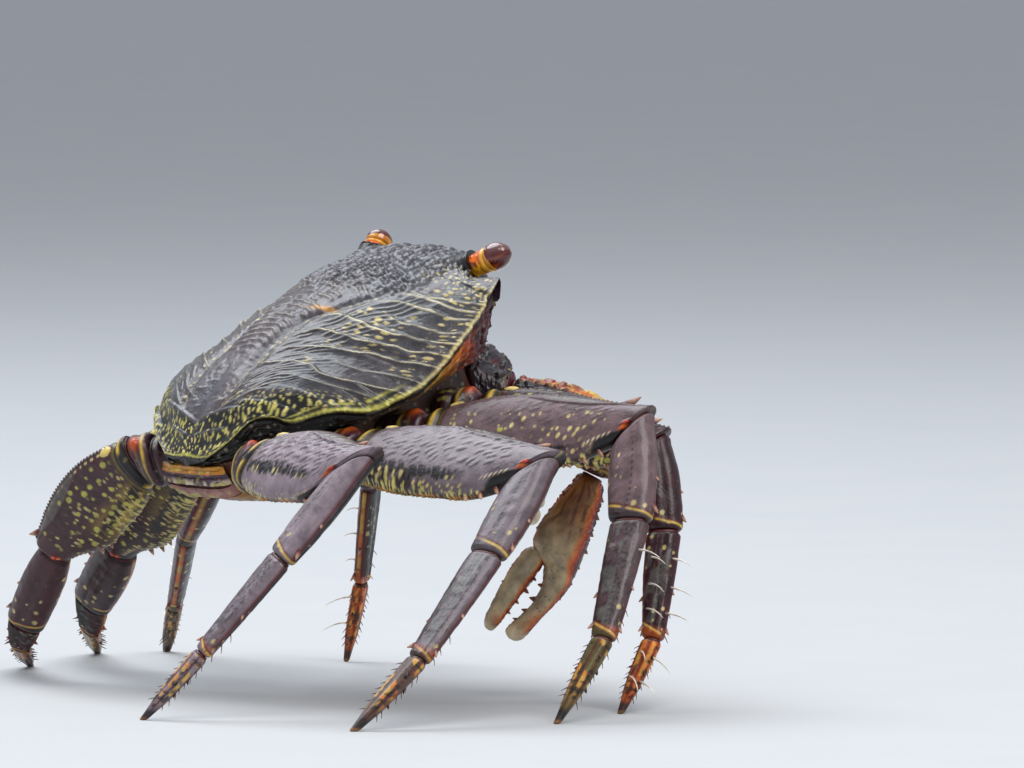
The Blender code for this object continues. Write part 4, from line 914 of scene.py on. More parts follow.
def leg_frames(side, number):
    """Joints of one leg from hip to tip, and each segment's axis and top direction."""
    sign = 1 if side == "right" else -1
    leg = LEGS[number]
    heading, rise, roll = (math.radians(a) for a in POSE[side, number][:3])
    knee, wrist, ankle, swing = POSE[side, number][3:]
    outward_way = RIGHT * sign
    ahead = np.array([0.0, -1.0, 0.0])
    flat = math.cos(heading) * outward_way + math.sin(heading) * ahead
    behind = math.sin(heading) * outward_way - math.cos(heading) * ahead
    axis = math.cos(rise) * flat + math.sin(rise) * UP
    over = -math.sin(rise) * flat + math.cos(rise) * UP
    top = math.cos(roll) * over - math.sin(roll) * behind
    rear = math.cos(roll) * behind + math.sin(roll) * over
    x, y, z = leg["hip"]
    joints = [body(sign * x, y, z)]
    axes, tops = [axis], [top]
    for degrees, swung in ((knee, 0.0), (wrist, math.radians(swing)), (ankle, 0.0)):
        axis, top = bend(axis, top, degrees)
        axis = math.cos(swung) * axis - math.sin(swung) * rear
        axes.append(axis)
        tops.append(top)
    for axis, length in zip(axes, leg["lengths"]):
        joints.append(joints[-1] + axis * length * MM)
    return joints, axes, tops


# Joint skin: millimetres out of the segment's inner end, and size against its rim
COLLAR = ((-1.6, 0.70), (-0.6, 0.86), (0.0, 0.88), (0.22, 0.84), (0.3, 0.5))


class Limb:
    """The skin of one limb segment between two joint planes, as a grid of points with its own places.

    ups are the directions of its top edge at either end, the table its shape in millimetres, and cuts
    the planes. f runs from 0 to 1 between the planes, turn from the top edge, positive to the rear."""

    def __init__(self, start, end, ups, table, cuts, rows, columns, sign, powers=(OVAL_EDGE, OVAL_FACE)):
        self.start, self.run = start, end - start
        self.length = np.linalg.norm(self.run)
        self.axis = self.run / self.length
        self.ups, self.table, self.sign, self.powers = ups, np.array(table, float), sign, powers
        self.f = np.linspace(0.0, 1.0, rows)[:, None] * np.ones(columns)
        whole = np.linspace(0.0, 2 * math.pi, 721)
        tall, thick = self.table[:, 1:3].mean(), self.table[:, 3].mean()
        steps = np.hypot(tall * np.diff(np.cos(whole)), thick * np.diff(np.sin(whole)))
        reach = np.concatenate([[0.0], np.cumsum(steps)])
        angle = np.interp(np.linspace(0.0, reach[-1], columns, endpoint=False), reach, whole)
        angle = np.where(angle > math.pi + 1e-6, angle - 2 * math.pi, angle)
        self.turn = np.degrees(angle)[None, :] * np.ones((rows, 1))
        s = self.f
        (first, first_normal), (last, last_normal) = cuts
        first, last = first + first_normal * GAP / 2, last - last_normal * GAP / 2
        for _ in range(4):
            offset = self.offset(s, self.turn * sign)[0]
            ends = []
            for point, normal, row in ((first, first_normal, 0), (last, last_normal, -1)):
                reach = (point - start - offset[row]) @ normal
                ends.append(reach / (self.axis @ normal) / self.length)
            s = ends[0][None, :] * (1 - self.f) + ends[1][None, :] * self.f
        offset = self.offset(s, self.turn * sign)[0]
        self.points = start + s[..., None] * self.run + offset
        self.s = s
        self.along = self.f * self.length / MM
        steps = np.linalg.norm(np.roll(self.points, -1, axis=1) - self.points, axis=-1) / MM
        total = steps.sum(axis=1, keepdims=True)
        around = np.cumsum(steps, axis=1) - steps
        # Millimetres round the skin from the top edge, negative in front, and from the lower edge
        self.around = np.where(self.turn < -1e-6, around - total, around)
        self.under = total / 2 - np.abs(self.around)
        self.share = np.abs(self.around) / (total / 2)
        self.distance = self.f * (ends[1] - ends[0]) * self.length / MM
        self.left = (1 - self.f) * (ends[1] - ends[0]) * self.length / MM

    def frame_at(self, s):
        up = unit(self.ups[0] * (1 - s) + self.ups[1] * s)
        up = unit(up - (up @ self.axis)[..., None] * self.axis)
        return up, np.cross(self.axis, up)

    def offset(self, s, turn):
        """From the axis to the skin, and the way out of it, at s and a turn of the section itself."""
        s = np.asarray(s, float)
        up, across = self.frame_at(np.clip(s, 0.0, 1.0)[..., None])
        high, low, thick = np.moveaxis(flowing(self.table, np.clip(s, 0.0, 1.0)) * MM, -1, 0)
        angle = np.radians(turn)
        rise = np.sign(np.cos(angle)) * np.abs(np.cos(angle)) ** self.powers[0]
        side = np.sign(np.sin(angle)) * np.abs(np.sin(angle)) ** self.powers[1]
        middle, half = (high - low) / 2, (high + low) / 2
        point = (middle + half * rise)[..., None] * up + (thick * side)[..., None] * across
        slope_up = np.sign(rise) * np.abs(rise) ** (2 / self.powers[0] - 1) / half
        slope_side = np.sign(side) * np.abs(side) ** (2 / self.powers[1] - 1) / thick
        return point, unit(slope_up[..., None] * up + slope_side[..., None] * across)

    def place(self, s, turn):
        """Point of the skin at s along the segment and a turn to the rear, and the way out of it."""
        point, normal = self.offset(np.array(s), np.array(turn * self.sign))
        return self.start + s * self.run + point, normal

    def raised(self, rise, rim=0.9):
        """The skin with its relief in millimetres, and its ends rounded off."""
        normals = outward(self.points)
        ends = smooth(np.minimum(self.distance, self.left), 0.1, 0.9)
        points = lifted(self.points, rise * ends, normals)
        near = np.clip(np.minimum(self.distance, self.left), 0.0, rim)
        inset = rim - np.sqrt(np.maximum(rim**2 - (rim - near) ** 2, 0.0))
        middle = points.mean(axis=1, keepdims=True)
        spoke = points - middle
        far = np.linalg.norm(spoke, axis=-1, keepdims=True)
        return middle + spoke * (1 - np.minimum(inset[..., None] * MM / far, 0.6))

    def membrane(self, piece, colour):
        """The soft skin in the joint, a dark collar just inside the rim of the inner end."""
        ring = self.points[0]
        middle, way = ring.mean(axis=0), -self.axis
        rings = [middle + (ring - middle) * size + way * reach * MM for reach, size in COLLAR]
        piece.cover(np.array(rings), colour, 0.0, 0.1)

    def finish(self, piece, rise, paint, dots, rim=0.9):
        skin = np.stack([self.along * 0.75, self.around, 0 * self.around], axis=-1)
        piece.cover(self.raised(rise, rim), paint, dots, 0.0, skin)


def limb_spikes(piece, limb, table, size, chance, foot, point, curve=0.15):
    for s, turn, length, radius, lean in table:
        place, normal = limb.place(s, turn)
        length *= size * (1 + chance.uniform(-0.12, 0.12))
        rings = spike(
            place, normal + lean * limb.axis, length * 1.05, radius * size, curve=curve * limb.axis
        )
        add_spike(piece, rings, foot, point)


# Bristles stay over the floor and within the part's own reach
REACH_LOW = np.array(cad_low) + np.array([0.0, 0.0, 0.4 * MM])
REACH_HIGH = np.array(cad_high)


def bristles(piece, limb, turns, places, length, radius, colour, chance, lean):
    """Rows of curved bristles that lean and bend one way; length and radius in millimetres."""
    for turn in turns:
        for s in places:
            point, normal = limb.place(s + chance.uniform(-0.02, 0.02), turn + chance.uniform(-9.0, 9.0))
            reach = length * chance.uniform(0.75, 1.2)
            way = normal + chance.uniform(0.7, 1.1) * lean
            rings = spike(point, way, reach, radius, 0.3, 0.04, 0.35 * limb.axis, 5, 6)
            if (rings > REACH_LOW).all() and (rings < REACH_HIGH).all():
                add_spike(piece, rings, colour * 0.8, colour)


FRONT = BLACK * 1.3
BROWN = tone(84, 66, 56)
# Each leg's colours behind, in front, below and at its foot, its wrinkles and spots from 0 to 1, the slant of
# its wrinkles in degrees, its dark patch (first and last place, level, height) and how green it is underneath
TONES = ("rear", "front", "lower", "toe", "wrinkle", "spots", "slant", "patch", "green")
LEG_TONES = {
    ("right", 2): (
        MAROON * 0.7, BLACK, MAROON * 0.9, ORANGE * 0.7, 0.25, 1.0, 40, (0.1, 0.7, 0.70, 0.15), 0.0
    ),
    ("right", 3): (MAUVE, FRONT, MAUVE * 0.65, OLIVE * 0.8, 0.35, 0.3, 38, (0.45, 0.82, 0.68, 0.14), 0.0),
    ("right", 4): (
        LAVENDER * 0.8, FRONT, LAVENDER * 0.7, BROWN, 0.85, 0.0, 42, (0.10, 0.74, 0.63, 0.20), 0.0
    ),
    ("right", 5): (LAVENDER * 1.2, FRONT, LAVENDER, LAVENDER, 1.0, 0.0, 28, (0.14, 0.82, 0.50, 0.18), 0.0),
    ("left", 2): (MAUVE, FRONT, MAUVE * 0.8, ORANGE * 0.7, 0.35, 0.5, 40, (0.1, 0.7, 0.68, 0.15), 0.0),
    ("left", 3): (PURPLE * 1.3, FRONT, MAROON, OLIVE * 0.8, 0.35, 0.4, 40, (0.1, 0.7, 0.64, 0.2), 0.0),
    ("left", 4): (MAROON * 0.6, FRONT, BLACK * 0.8, OLIVE, 0.5, 0.6, 42, (0.1, 0.7, 0.64, 0.2), 0.5),
    ("left", 5): (MAROON, FRONT, MAROON * 0.5, MAROON, 0.6, 0.9, 30, (0.1, 0.7, 0.60, 0.2), 1.0),
}
HIND_SLANT = 35


def face_mix(limb, tones, seed):
    """Colour of a leg's skin before its markings: one tone behind, another in front, with noise."""
    rear = smooth(np.sin(np.radians(limb.turn)), -0.35, 0.25)
    patch = noise(limb.along * 0.25 + seed, limb.around * 0.3, seed)
    paint = mix(tones["front"], tones["rear"], rear)
    return mix(paint, paint * 0.75, 0.7 * smooth(patch, 0.35, 0.9)), rear


def wrinkles(limb, slant, pitch, seed):
    """Short ridges slanting up to a limb's outer end: height from 0 to 1, and 1 at their feet, where the meri
    get painted shadow.
    """
    down = np.abs(limb.around)
    angle = math.radians(slant)
    place = limb.along * math.sin(angle) + down * math.cos(angle)
    run = limb.along * math.cos(angle) - down * math.sin(angle)
    place = (
        place + 1.8 * (noise(run * 0.18, place * 0.3, seed) - 0.5)
        + 0.5 * (noise(run * 0.7, place, seed + 3) - 0.5)
    )
    line = np.floor(place / pitch)
    f = place / pitch - line
    part = (run / 3.1 + 9 * noise(line * 3.7, seed * 1.3, seed + 1)) % 1.0
    broken = span(part, 0.0, 0.16, 0.55, 0.80)
    broken = broken * patches(line * 2.3 + run * 0.25, seed, seed + 2, 0.15, 0.35)
    height = np.where(f < 0.74, f / 0.74, (1 - f) / 0.26) * broken
    return height, bell(f, 0.93, 0.10) * broken


def chances(cell, seed):
    """A number from 0 to 1 for each whole number."""
    return NOISE_TABLE[seed % 8][cell.astype(int) % 61, (7 * seed) % 67]


def upright(limb, pitch, low, high, seed, width=0.5, shift=0.0):
    """1 inside uneven upright dashes that stand between two shares of the way down a limb's face."""
    place = (limb.along + 0.30 * limb.under + 0.25 * np.sin(limb.along * 1.9)) / pitch + shift
    cell = np.floor(place)
    half = width / 2 * (0.65 + 0.6 * chances(cell, seed + 2))
    inside = 1 - smooth(np.abs(place - cell - 0.5), half - 0.09, half + 0.09)
    start = low + (high - low) * 0.35 * chances(cell, seed)
    stop = high - (high - low) * 0.40 * chances(cell, seed + 1)
    return inside * smooth(limb.share, start - 0.02, start + 0.02) * smooth(stop - limb.share, -0.02, 0.02)


def merus_style(limb, tones, seed):
    f, turn, mm, under, share = limb.f, limb.turn, limb.along, limb.under, limb.share
    around, left = limb.around, limb.left
    paint, rear = face_mix(limb, tones, seed)
    down, spotted, hind = np.abs(around), tones["spots"], tones["slant"] < HIND_SLANT
    # Yellow to green below, near the body, on the left hind legs
    green = tones["green"] * smooth(share, 0.48, 0.74) * fade(f, 0.30, 0.72) * rear
    paint = layers(
        paint,
        (mix(OLIVE, YELLOW * 0.8, noise(mm * 0.3, under * 0.3, 2)), 0.85 * green),
        (DARK_RED, 0.8 * green * spots(mm / 1.6, under / 1.3, 0.22, 6)),
    )
    height, foot = wrinkles(limb, tones["slant"], 1.25, seed)
    reach = span(f, 0.07, 0.13, 0.84, 0.93) * smooth(down, 0.9, 1.8) * fade(share, 0.52, 0.74)
    reach = reach * tones["wrinkle"]
    rise = 0.17 * height * reach
    # Painted shadow at the wrinkles' feet and painted highlight on their crests
    paint = mix(paint, BLACK, 0.65 * foot * reach * (0.35 + 0.65 * rear))
    paint = mix(paint, paint * 1.15, 0.40 * height**3 * reach)
    # Black upright dashes behind in the inner half, lower outwards, with paler ones among them
    first, last, level, tall = tones["patch"]
    where = smooth(f, first - 0.04, first) * smooth(last - f, 0.0, 0.12) * (0.35 + 0.65 * rear)
    level, tall = level + 0.06 * f, tall * (1.1 - 0.75 * f)
    dark = np.maximum(
        upright(limb, 0.82, level, level + 1.25 * tall, seed, 0.86),
        upright(limb, 1.15, level + 0.1 * tall, level + 1.1 * tall, seed + 3, 0.80),
    )
    ground = (
        smooth(share, level + 0.5 * tall, level + 0.8 * tall) * fade(f, 0.40, 0.62) * (1 - rear * hind)
    )
    paint = layers(
        paint,
        (MAROON * 0.15, 0.75 * where * ground * patches(mm * 0.9, under * 0.5, seed, 0.2, 0.5)),
        (MAROON * 0.12, where * dark),
    )
    pale = upright(limb, 1.75, level + 0.45 * tall, level + 1.3 * tall, seed + 4, 0.30, 0.3)
    paint = mix(paint, FRECKLE, 0.85 * pale * where * patches(mm * 0.3, seed, 1, 0.35, 0.5))
    # The upper edge: small teeth, a dark line and yellow dashes behind it
    teeth = 0.5 + 0.5 * ripple(mm, 0.80)
    rise += bell(down, 0.0, 0.40) * (0.15 + 0.38 * teeth) * smooth(f, 0.07, 0.13)
    paint = mix(paint, mix(BLACK, DARK_RED, teeth * 0.5), 0.8 * bell(down, 0.10, 0.35))
    dash = smooth(ripple(mm, 1.55), -0.1, 0.3) * patches(mm * 0.8, seed, 2, 0.25, 0.45)
    paint = mix(paint, FRECKLE, 0.9 * bell(around, 0.95, 0.24) * dash)
    # A facet along the top of the outer half, set off by a low edge; its grey is a painted sheen
    top = 1.6 + 1.6 * smooth(f, 0.35, 0.60) - 1.8 * smooth(f, 0.70, 0.97)
    facet_edge = bell(around, top, 0.30) * span(f, 0.34, 0.48, 0.93, 0.97)
    rise += 0.24 * facet_edge
    inside = smooth(top - around, 0.1, 0.5) * smooth(around, 0.2, 0.5) * smooth(f, 0.34, 0.48)
    paint = layers(
        paint,
        (mix(SLATE, OLIVE, 0.3) * 1.1, 0.6 * inside),
        (BLACK, 0.5 * bell(around, top + 0.35, 0.18) * smooth(f, 0.34, 0.48)),
    )
    # The lower edge: pale upright dashes on black, longer in the inner half, that end in small teeth
    low = 0.86 + 0.09 * smooth(f, 0.20, 0.55) - 0.06 * spotted + (0.07 if hind else 0.0)
    here = span(f, 0.07, 0.12, 0.84, 0.90)
    paint = mix(
        paint, BLACK, 0.85 * smooth(share, low - 0.03, low + 0.03) * (1 - 0.4 * rear * (1 - spotted))
    )
    row = np.maximum(
        upright(limb, 0.95 + 0.8 * spotted, low - 0.02, 1.12, seed + 1, 0.40),
        upright(limb, 2.3, low - 0.06, 0.98, seed + 5, 0.26),
    )
    paint = layers(
        paint,
        (tone(212, 204, 122), 0.95 * row * here),
        (mix(DARK_RED, ORANGE, patches(mm * 0.6, 0.0, 1, 0.45, 0.7)), 0.8 * bell(under, 0.0, 0.28)),
    )
    rise += 0.38 * bell(under, 0.40, 0.42) * row * here
    above = (
        spots(mm / 1.3 + seed, under / 1.7, 0.26, 4) * smooth(share, low - 0.16, low - 0.08)
        * (share < low)
    )
    paint = mix(paint, FRECKLE, 0.85 * above * here * patches(mm * 0.25, seed, 3, 0.3, 0.5))
    few = smooth(spotted, 0.1, 0.3) * span(share, 0.26, 0.42, 0.84, 0.90)
    small = (
        spots(mm / 1.5 + seed, under / 2.3, 0.21, seed + 1)
        * patches(mm * 0.25, under * 0.3, 3, 0.35, 0.55)
    )
    paint = mix(paint, FRECKLE, 0.9 * small * few * here)
    # Larger spots on the darker legs
    large = spots(mm / 2.4 + seed, around / 2.1, 0.15 + 0.10 * spotted, seed) * smooth(down, 1.8, 2.6)
    many = 0.96 - 0.74 * spotted
    large *= patches(mm * 0.2 + 4, around * 0.2, seed, many, many + 0.12)
    paint = mix(paint, YELLOW_GREEN, 0.85 * large * span(f, 0.1, 0.2, 0.85, 0.92))
    # The base: arcs of yellow and black round the joint, with a pale knob above
    arc = mm - 0.5 * np.sin(np.radians(np.abs(turn)))
    paint = layers(
        paint,
        (MAROON * 1.3, 0.6 * fade(arc, 3.2, 3.7)),
        (OLIVE * 1.3, 0.9 * bell(arc, 2.75, 0.26)),
        (BLACK * 0.7, fade(arc, 2.3, 2.55)),
        (YELLOW, bell(arc, 1.30, 0.42) * patches(around * 0.3, seed, 2, 0.05, 0.25)),
    )
    rise += 0.25 * bell(arc, 1.4, 0.6) - 0.25 * bell(arc, 2.4, 0.4)
    knob = np.clip(1 - ((mm - 4.4) / 1.25) ** 2 - ((around - 1.0) / 0.9) ** 2, 0.0, 1.0) ** 0.5
    rise += 0.55 * knob
    paint = mix(paint, tone(214, 196, 110), smooth(knob, 0.05, 0.4))
    # The outer end: black below, with pale teeth above the black, and a red and orange condyle
    start = 0.84 if hind else 0.70
    level = share + 0.5 * (f - 0.95)
    paint = mix(paint, BLACK * 0.7, smooth(f, 0.86, 0.895) * smooth(level, start, start + 0.03))
    edge = bell(level, start, 0.030) * smooth(f, 0.80, 0.84)
    edge *= smooth(ripple(mm, 0.9), -0.2, 0.2) * fade(f, 0.93, 0.95)
    paint = mix(paint, CREAM, 0.9 * edge)
    rise += 0.2 * edge
    paint = mix(paint, MAROON * 0.5, 0.8 * bell(left, 0.50, 0.16))
    condyle = bell(left, 0.9, 0.62) * bell(share, 0.55, 0.048)
    paint = layers(
        paint,
        (DARK_RED, np.clip(3 * condyle, 0, 1)),
        (tone(206, 84, 66), smooth(condyle, 0.45, 0.75)),
    )
    below = bell(left, 0.7, 0.5) * bell(share, 0.64, 0.040)
    paint = mix(paint, ORANGE * 1.15, np.clip(1.6 * below, 0, 1))
    rise += 0.60 * condyle + 0.2 * below
    dots = np.clip(0.15 * (1 - rear) + 0.2 * fade(f, 0.05, 0.1), 0, 1)
    return rise, paint, dots


def streaks(limb, seed):
    """Faint lengthwise streaks on a limb, from 0 to 1."""
    return noise(limb.along * 0.16, limb.around * 2.3, seed)


def lined_edges(limb, paint, at, rear):
    """Adds the edges of a limb: dark red above, and below orange to yellow with dark red inside it."""
    mm, down, under = limb.along, np.abs(limb.around), limb.under
    paint = mix(paint, DARK_RED, 0.9 * bell(down, 0.0, 0.38))
    broken = patches(mm * 0.8, at, 4, 0.25, 0.45)
    paint = layers(
        paint,
        (BLACK, 0.7 * bell(under, 1.35, 0.16) * broken),
        (DARK_RED * (0.8 + 0.4 * rear[..., None]), bell(under, 0.85, 0.30)),
    )
    bright = mix(ORANGE, YELLOW, noise(mm * 0.5, at, 2))
    return mix(paint, bright, fade(under, 0.30, 0.50) * (0.3 + 0.7 * rear))


def outer_rim(limb, paint, beyond, seed):
    """Adds the slanting lines by a limb's outer end, the skin beyond them and the dark inner end."""
    rim = limb.left - 2.3 * limb.share**1.3
    paint = layers(
        paint,
        (DARK_RED, 0.9 * bell(rim, 1.05, 0.20)),
        (YELLOW, 0.9 * bell(rim, 0.62, 0.20) * patches(limb.around * 0.5, seed, 3, 0.15, 0.35)),
        (beyond, fade(rim, 0.15, 0.32)),
    )
    return mix(paint, BLACK, 0.8 * fade(limb.distance, 0.25, 0.50))


def carpus_style(limb, tones, seed):
    f, turn, mm = limb.f, limb.turn, limb.along
    paint, rear = face_mix(limb, tones, seed + 2)
    lines = streaks(limb, seed)
    paint = mix(paint * 0.92, paint * 1.10, lines)
    rise = 0.10 * bell(turn, 50, 18) + 0.12 * bell(turn, -60, 14) + 0.14 * bell(turn, 0, 10)
    rise -= 0.10 * bell(turn, 78, 12) * smooth(f, 0.1, 0.25)
    rise += 0.06 * (lines - 0.5) + 0.10 * (noise(mm * 0.7, limb.around * 0.7, seed) - 0.5)
    dashes = smooth(np.cos(mm * 2 * math.pi / 1.25 + 3 * noise(mm * 0.3, seed, 1)), -0.3, 0.2)
    dashes *= span(f, 0.12, 0.2, 0.88, 0.93)
    paint = mix(paint, BLACK, 0.85 * bell(limb.around, limb.around.max() * 0.42, 0.20) * dashes)
    paint = lined_edges(limb, paint, seed, rear)
    many = 0.74 - 0.24 * tones["spots"]
    spot = (
        spots(mm / 3.0 + seed, limb.around / 2.6, 0.15, seed)
        * (noise(mm * 0.2, limb.around * 0.2, 3) > many)
    )
    paint = mix(paint, FRECKLE, 0.8 * spot * smooth(f, 0.1, 0.2))
    dots = np.clip(0.05 + 0.4 * tones["spots"] * (1 - rear), 0, 1)
    return rise, outer_rim(limb, paint, tones["lower"] * 0.6, seed), dots


def propodus_style(limb, tones, seed):
    f, turn, mm, around = limb.f, limb.turn, limb.along, limb.around
    paint, rear = face_mix(limb, {**tones, "rear": tones["lower"]}, seed + 4)
    lines = streaks(limb, seed + 3)
    paint = mix(paint * 0.90, paint * 1.08, lines)
    rise = 0.10 * bell(turn, 58, 18) + 0.12 * bell(turn, -60, 14) + 0.14 * bell(turn, 0, 9)
    rise -= 0.08 * bell(turn, 86, 14) + 0.16 * bell(turn, -88, 12)
    rise += 0.08 * (lines - 0.5) + 0.10 * (noise(mm * 0.8, around * 0.8, seed) - 0.5)
    specks = patches(mm * 2.2, around * 2.2, seed + 1, 0.50, 0.68) * smooth(turn, 30, 60)
    paint = layers(
        paint,
        (MAROON, 0.75 * smooth(turn, 82, 96) * rear * (0.35 + tones["spots"])),
        (BLACK, 0.6 * specks),
    )
    pale = patches(mm * 0.35, around * 0.9 + 4, seed + 2, 0.55, 0.7) * smooth(turn, 60, 75) * rear
    paint = layers(
        paint,
        (tone(92, 98, 92), 0.5 * pale),
        (BLACK, 0.7 * bell(turn, 84, 3) * smooth(ripple(mm, 1.2), -0.4, 0.1)),
    )
    paint = lined_edges(limb, paint, seed + 7, rear)
    many = 0.76 - 0.22 * tones["spots"]
    spot = spots(mm / 2.8 + seed, around / 2.2, 0.15, seed + 2) * (noise(mm * 0.25, around * 0.2, 2) > many)
    paint = layers(
        paint,
        (FRECKLE, 0.75 * spot),
        (mix(PINK, ORANGE, noise(mm, around, 1)), 0.7 * smooth(f, 0.88, 0.96) * (0.4 + 0.6 * rear)),
    )
    return rise, outer_rim(limb, paint, tones["toe"] * 0.7, seed + 4), 0.05 + 0.3 * (1 - rear)


def dactylus_style(limb, tones, seed):
    f, turn, mm, around = limb.f, limb.turn, limb.along, limb.around
    rows = 0.5 + 0.5 * np.cos(np.radians(turn) * 6)
    patch = noise(mm * 0.7, around * 0.8, seed)
    paint = mix(tones["toe"] * 0.8, tones["toe"] * 1.2, patch)
    paint = mix(paint, DARK_RED, 0.65 * fade(rows, 0.1, 0.35))
    yellow = (rows > 0.60) * patches(mm * 1.1 + turn * 0.03, seed, 6, 0.36, 0.48)
    paint = layers(
        paint,
        (mix(YELLOW, ORANGE, patch), 0.85 * yellow * fade(f, 0.50, 0.80)),
        (BLACK, 0.75 * patches(mm * 1.3, around * 1.1, 5, 0.55, 0.65)),
        (BLACK * 1.2, 0.9 * smooth(f, 0.78, 0.88)),
        (tone(150, 110, 60), 0.7 * smooth(f, 0.93, 0.98)),
        (BLACK, 0.8 * fade(limb.distance, 0.25, 0.45)),
    )
    rise = 0.16 * rows * fade(f, 0.6, 0.9)
    return rise, paint, 0.10 * (1 - smooth(f, 0.7, 0.8))


def coxa_style(limb, tones, seed):
    f, mm, around = limb.f, limb.along, limb.around
    grain = noise(mm * 0.5, around * 0.4, seed)
    paint = mix(PURPLE * 0.8, MAROON, grain)
    ring = bell(f, 0.46, 0.045)
    rise = 0.30 * bell(f, 0.30, 0.07) + 0.40 * bell(f, 0.64, 0.10) - 0.50 * ring
    rise += 0.20 * (noise(mm * 0.8, around * 0.6, seed) - 0.5) + 0.1 * noise(mm * 2, around * 2, seed)
    arc = f + 0.03 * np.sin(np.radians(limb.turn * 2))
    paint = layers(
        paint,
        (YELLOW * 0.9, 0.85 * bell(arc, 0.66, 0.035) * patches(around * 0.3, seed, 3, 0.15, 0.35)),
        (BLACK, 0.85 * bell(arc, 0.75, 0.03)),
        (OLIVE * 1.2, 0.7 * bell(arc, 0.82, 0.025)),
        (BLACK, 0.85 * ring),
    )
    knob = bell(f, 0.80, 0.09) * bell(limb.turn, 20, 22)
    rise += 0.8 * knob
    paint = mix(paint, mix(RED, ORANGE, grain), np.clip(1.5 * knob, 0, 1))
    streak = patches(mm * 0.5 + 3, around * 0.9, seed + 1, 0.60, 0.72) * fade(f, 0.3, 0.44)
    paint = mix(paint, YELLOW_GREEN, 0.7 * streak)
    return rise, paint, 0.15 + 0 * f


STYLES = {
    "coxa": coxa_style,
    "merus": merus_style,
    "carpus": carpus_style,
    "propodus": propodus_style,
    "dactylus": dactylus_style,
}
# Rows along and columns round each segment
GRID = {"coxa": (60, 84), "merus": (224, 136), "carpus": (104, 92), "propodus": (116, 80)}
GRID["dactylus"] = (96, 56)


def joint_plane(point, before, after):
    return point, unit(before + after)


def scaled(table, size):
    return [(s, high * size, low * size, thick * size) for s, high, low, thick in table]


def leg_look(part, tones):
    """The darkest meri have broad spots, and the propodi of the far hind legs are dull."""
    if part == "merus" and tones["spots"] > 0.75:
        return DARK_LEG_LOOK
    return DULL_LEG_LOOK if part == "propodus" and tones["green"] else LEG_LOOK


def facet(sign, number):
    """Middle and outward normal of the thorax facet that carries a limb, 1 for the claw arm to 5."""
    (x0, y0), (x1, y1) = FACET_CORNERS[number - 1], FACET_CORNERS[number]
    middle = (sign * (x0 + x1) / 2, (y0 + y1) / 2, FACET_HEIGHTS[number - 1])
    return body(*middle), body_direction(sign * (y0 - y1), x1 - x0, 0.0)


BRISTLE_BROWN = tone(92, 52, 34)
# Short bristles: turns from the top edge, places along the segment, length and radius
BRISTLES = {
    "dactylus": ((38, -42, 150, -148), np.linspace(0.10, 0.70, 8), 1.0, 0.13),
    "propodus": ((28, -35), np.linspace(0.72, 0.94, 3), 1.1, 0.12),
}
# Long pale bristles of the front legs
SETAE_TURNS = {("right", 2): (28, 118), ("right", 3): (28,), ("left", 2): (30, 120), ("left", 3): (40,)}
SETAE_PLACES = {"propodus": (0.25, 0.50, 0.75), "dactylus": (0.2, 0.5)}
SETAE_LENGTH = 5.4
SETAE_RADIUS = 0.24
COXA_MOST = 0.95
COXA_FLARE = 0.4


def make_leg(side, number, chance, hairs):
    sign = 1 if side == "right" else -1
    size = LEGS[number]["size"]
    tones = dict(zip(TONES, LEG_TONES[side, number]))
    seed = number + (0 if side == "right" else 4)
    joints, axes, tops = leg_frames(side, number)
    root, facing = facet(sign, number)
    planes = [(root + facing * GAP / 2, facing), joint_plane(joints[0], unit(joints[0] - root), axes[0])]
    planes += [joint_plane(joints[i], axes[i - 1], axes[i]) for i in (1, 2, 3)]
    planes.append((np.array([0.0, 0.0, -GAP / 2]), -UP))
    tables = {"merus": scaled(MERUS_SHAPE, LEGS[number]["width"]), "carpus": scaled(CARPUS_SHAPE, size)}
    tables.update(propodus=scaled(PROPODUS_SHAPE, size), dactylus=scaled(DACTYLUS_SHAPE, size))
    high, low, thick = tables["merus"][0][1:]
    coxa_table = COXA_SHAPE + [(1.0, high, low, thick + COXA_FLARE)]
    tables["coxa"] = scaled(coxa_table, min(size, COXA_MOST))
    ends = [root] + joints
    for i, part in enumerate(STYLES):
        ups = (DORSAL, tops[0]) if part == "coxa" else (tops[i - 1], tops[i - 1])
        limb = Limb(ends[i], ends[i + 1], ups, tables[part], planes[i : i + 2], *GRID[part], sign)
        foot = part == "dactylus"
        node_name = f"leg{number}_{side}_{part}"
        piece = Piece(f"skin_{node_name}", node_name, "foot" if foot else "leg", leg_look(part, tones))
        limb.finish(piece, *STYLES[part](limb, tones, seed), 0.5 if foot else 0.9)
        if part in THORNS:
            limb.membrane(piece, DARK_RED * 0.7)
            tip = BLACK if foot else mix(RED, CREAM, 0.5)
            limb_spikes(piece, limb, THORNS[part], size, chance, DARK_RED, tip)
        if part in BRISTLES:
            bristles(piece, limb, *BRISTLES[part], BRISTLE_BROWN, hairs, limb.axis)
        if (side, number) in SETAE_TURNS and part in SETAE_PLACES:
            rows = (SETAE_TURNS[side, number], SETAE_PLACES[part], SETAE_LENGTH, SETAE_RADIUS)
            bristles(piece, limb, *rows, WHITE * 1.2, hairs, 1.1 * tops[i - 1] + 0.3 * limb.axis)
        piece.make()


def make_legs():
    chance, hairs = np.random.default_rng(11), np.random.default_rng(13)
    for side in ("right", "left"):
        for number in LEGS:
            make_leg(side, number, chance, hairs)


make_legs()


# Claw arms

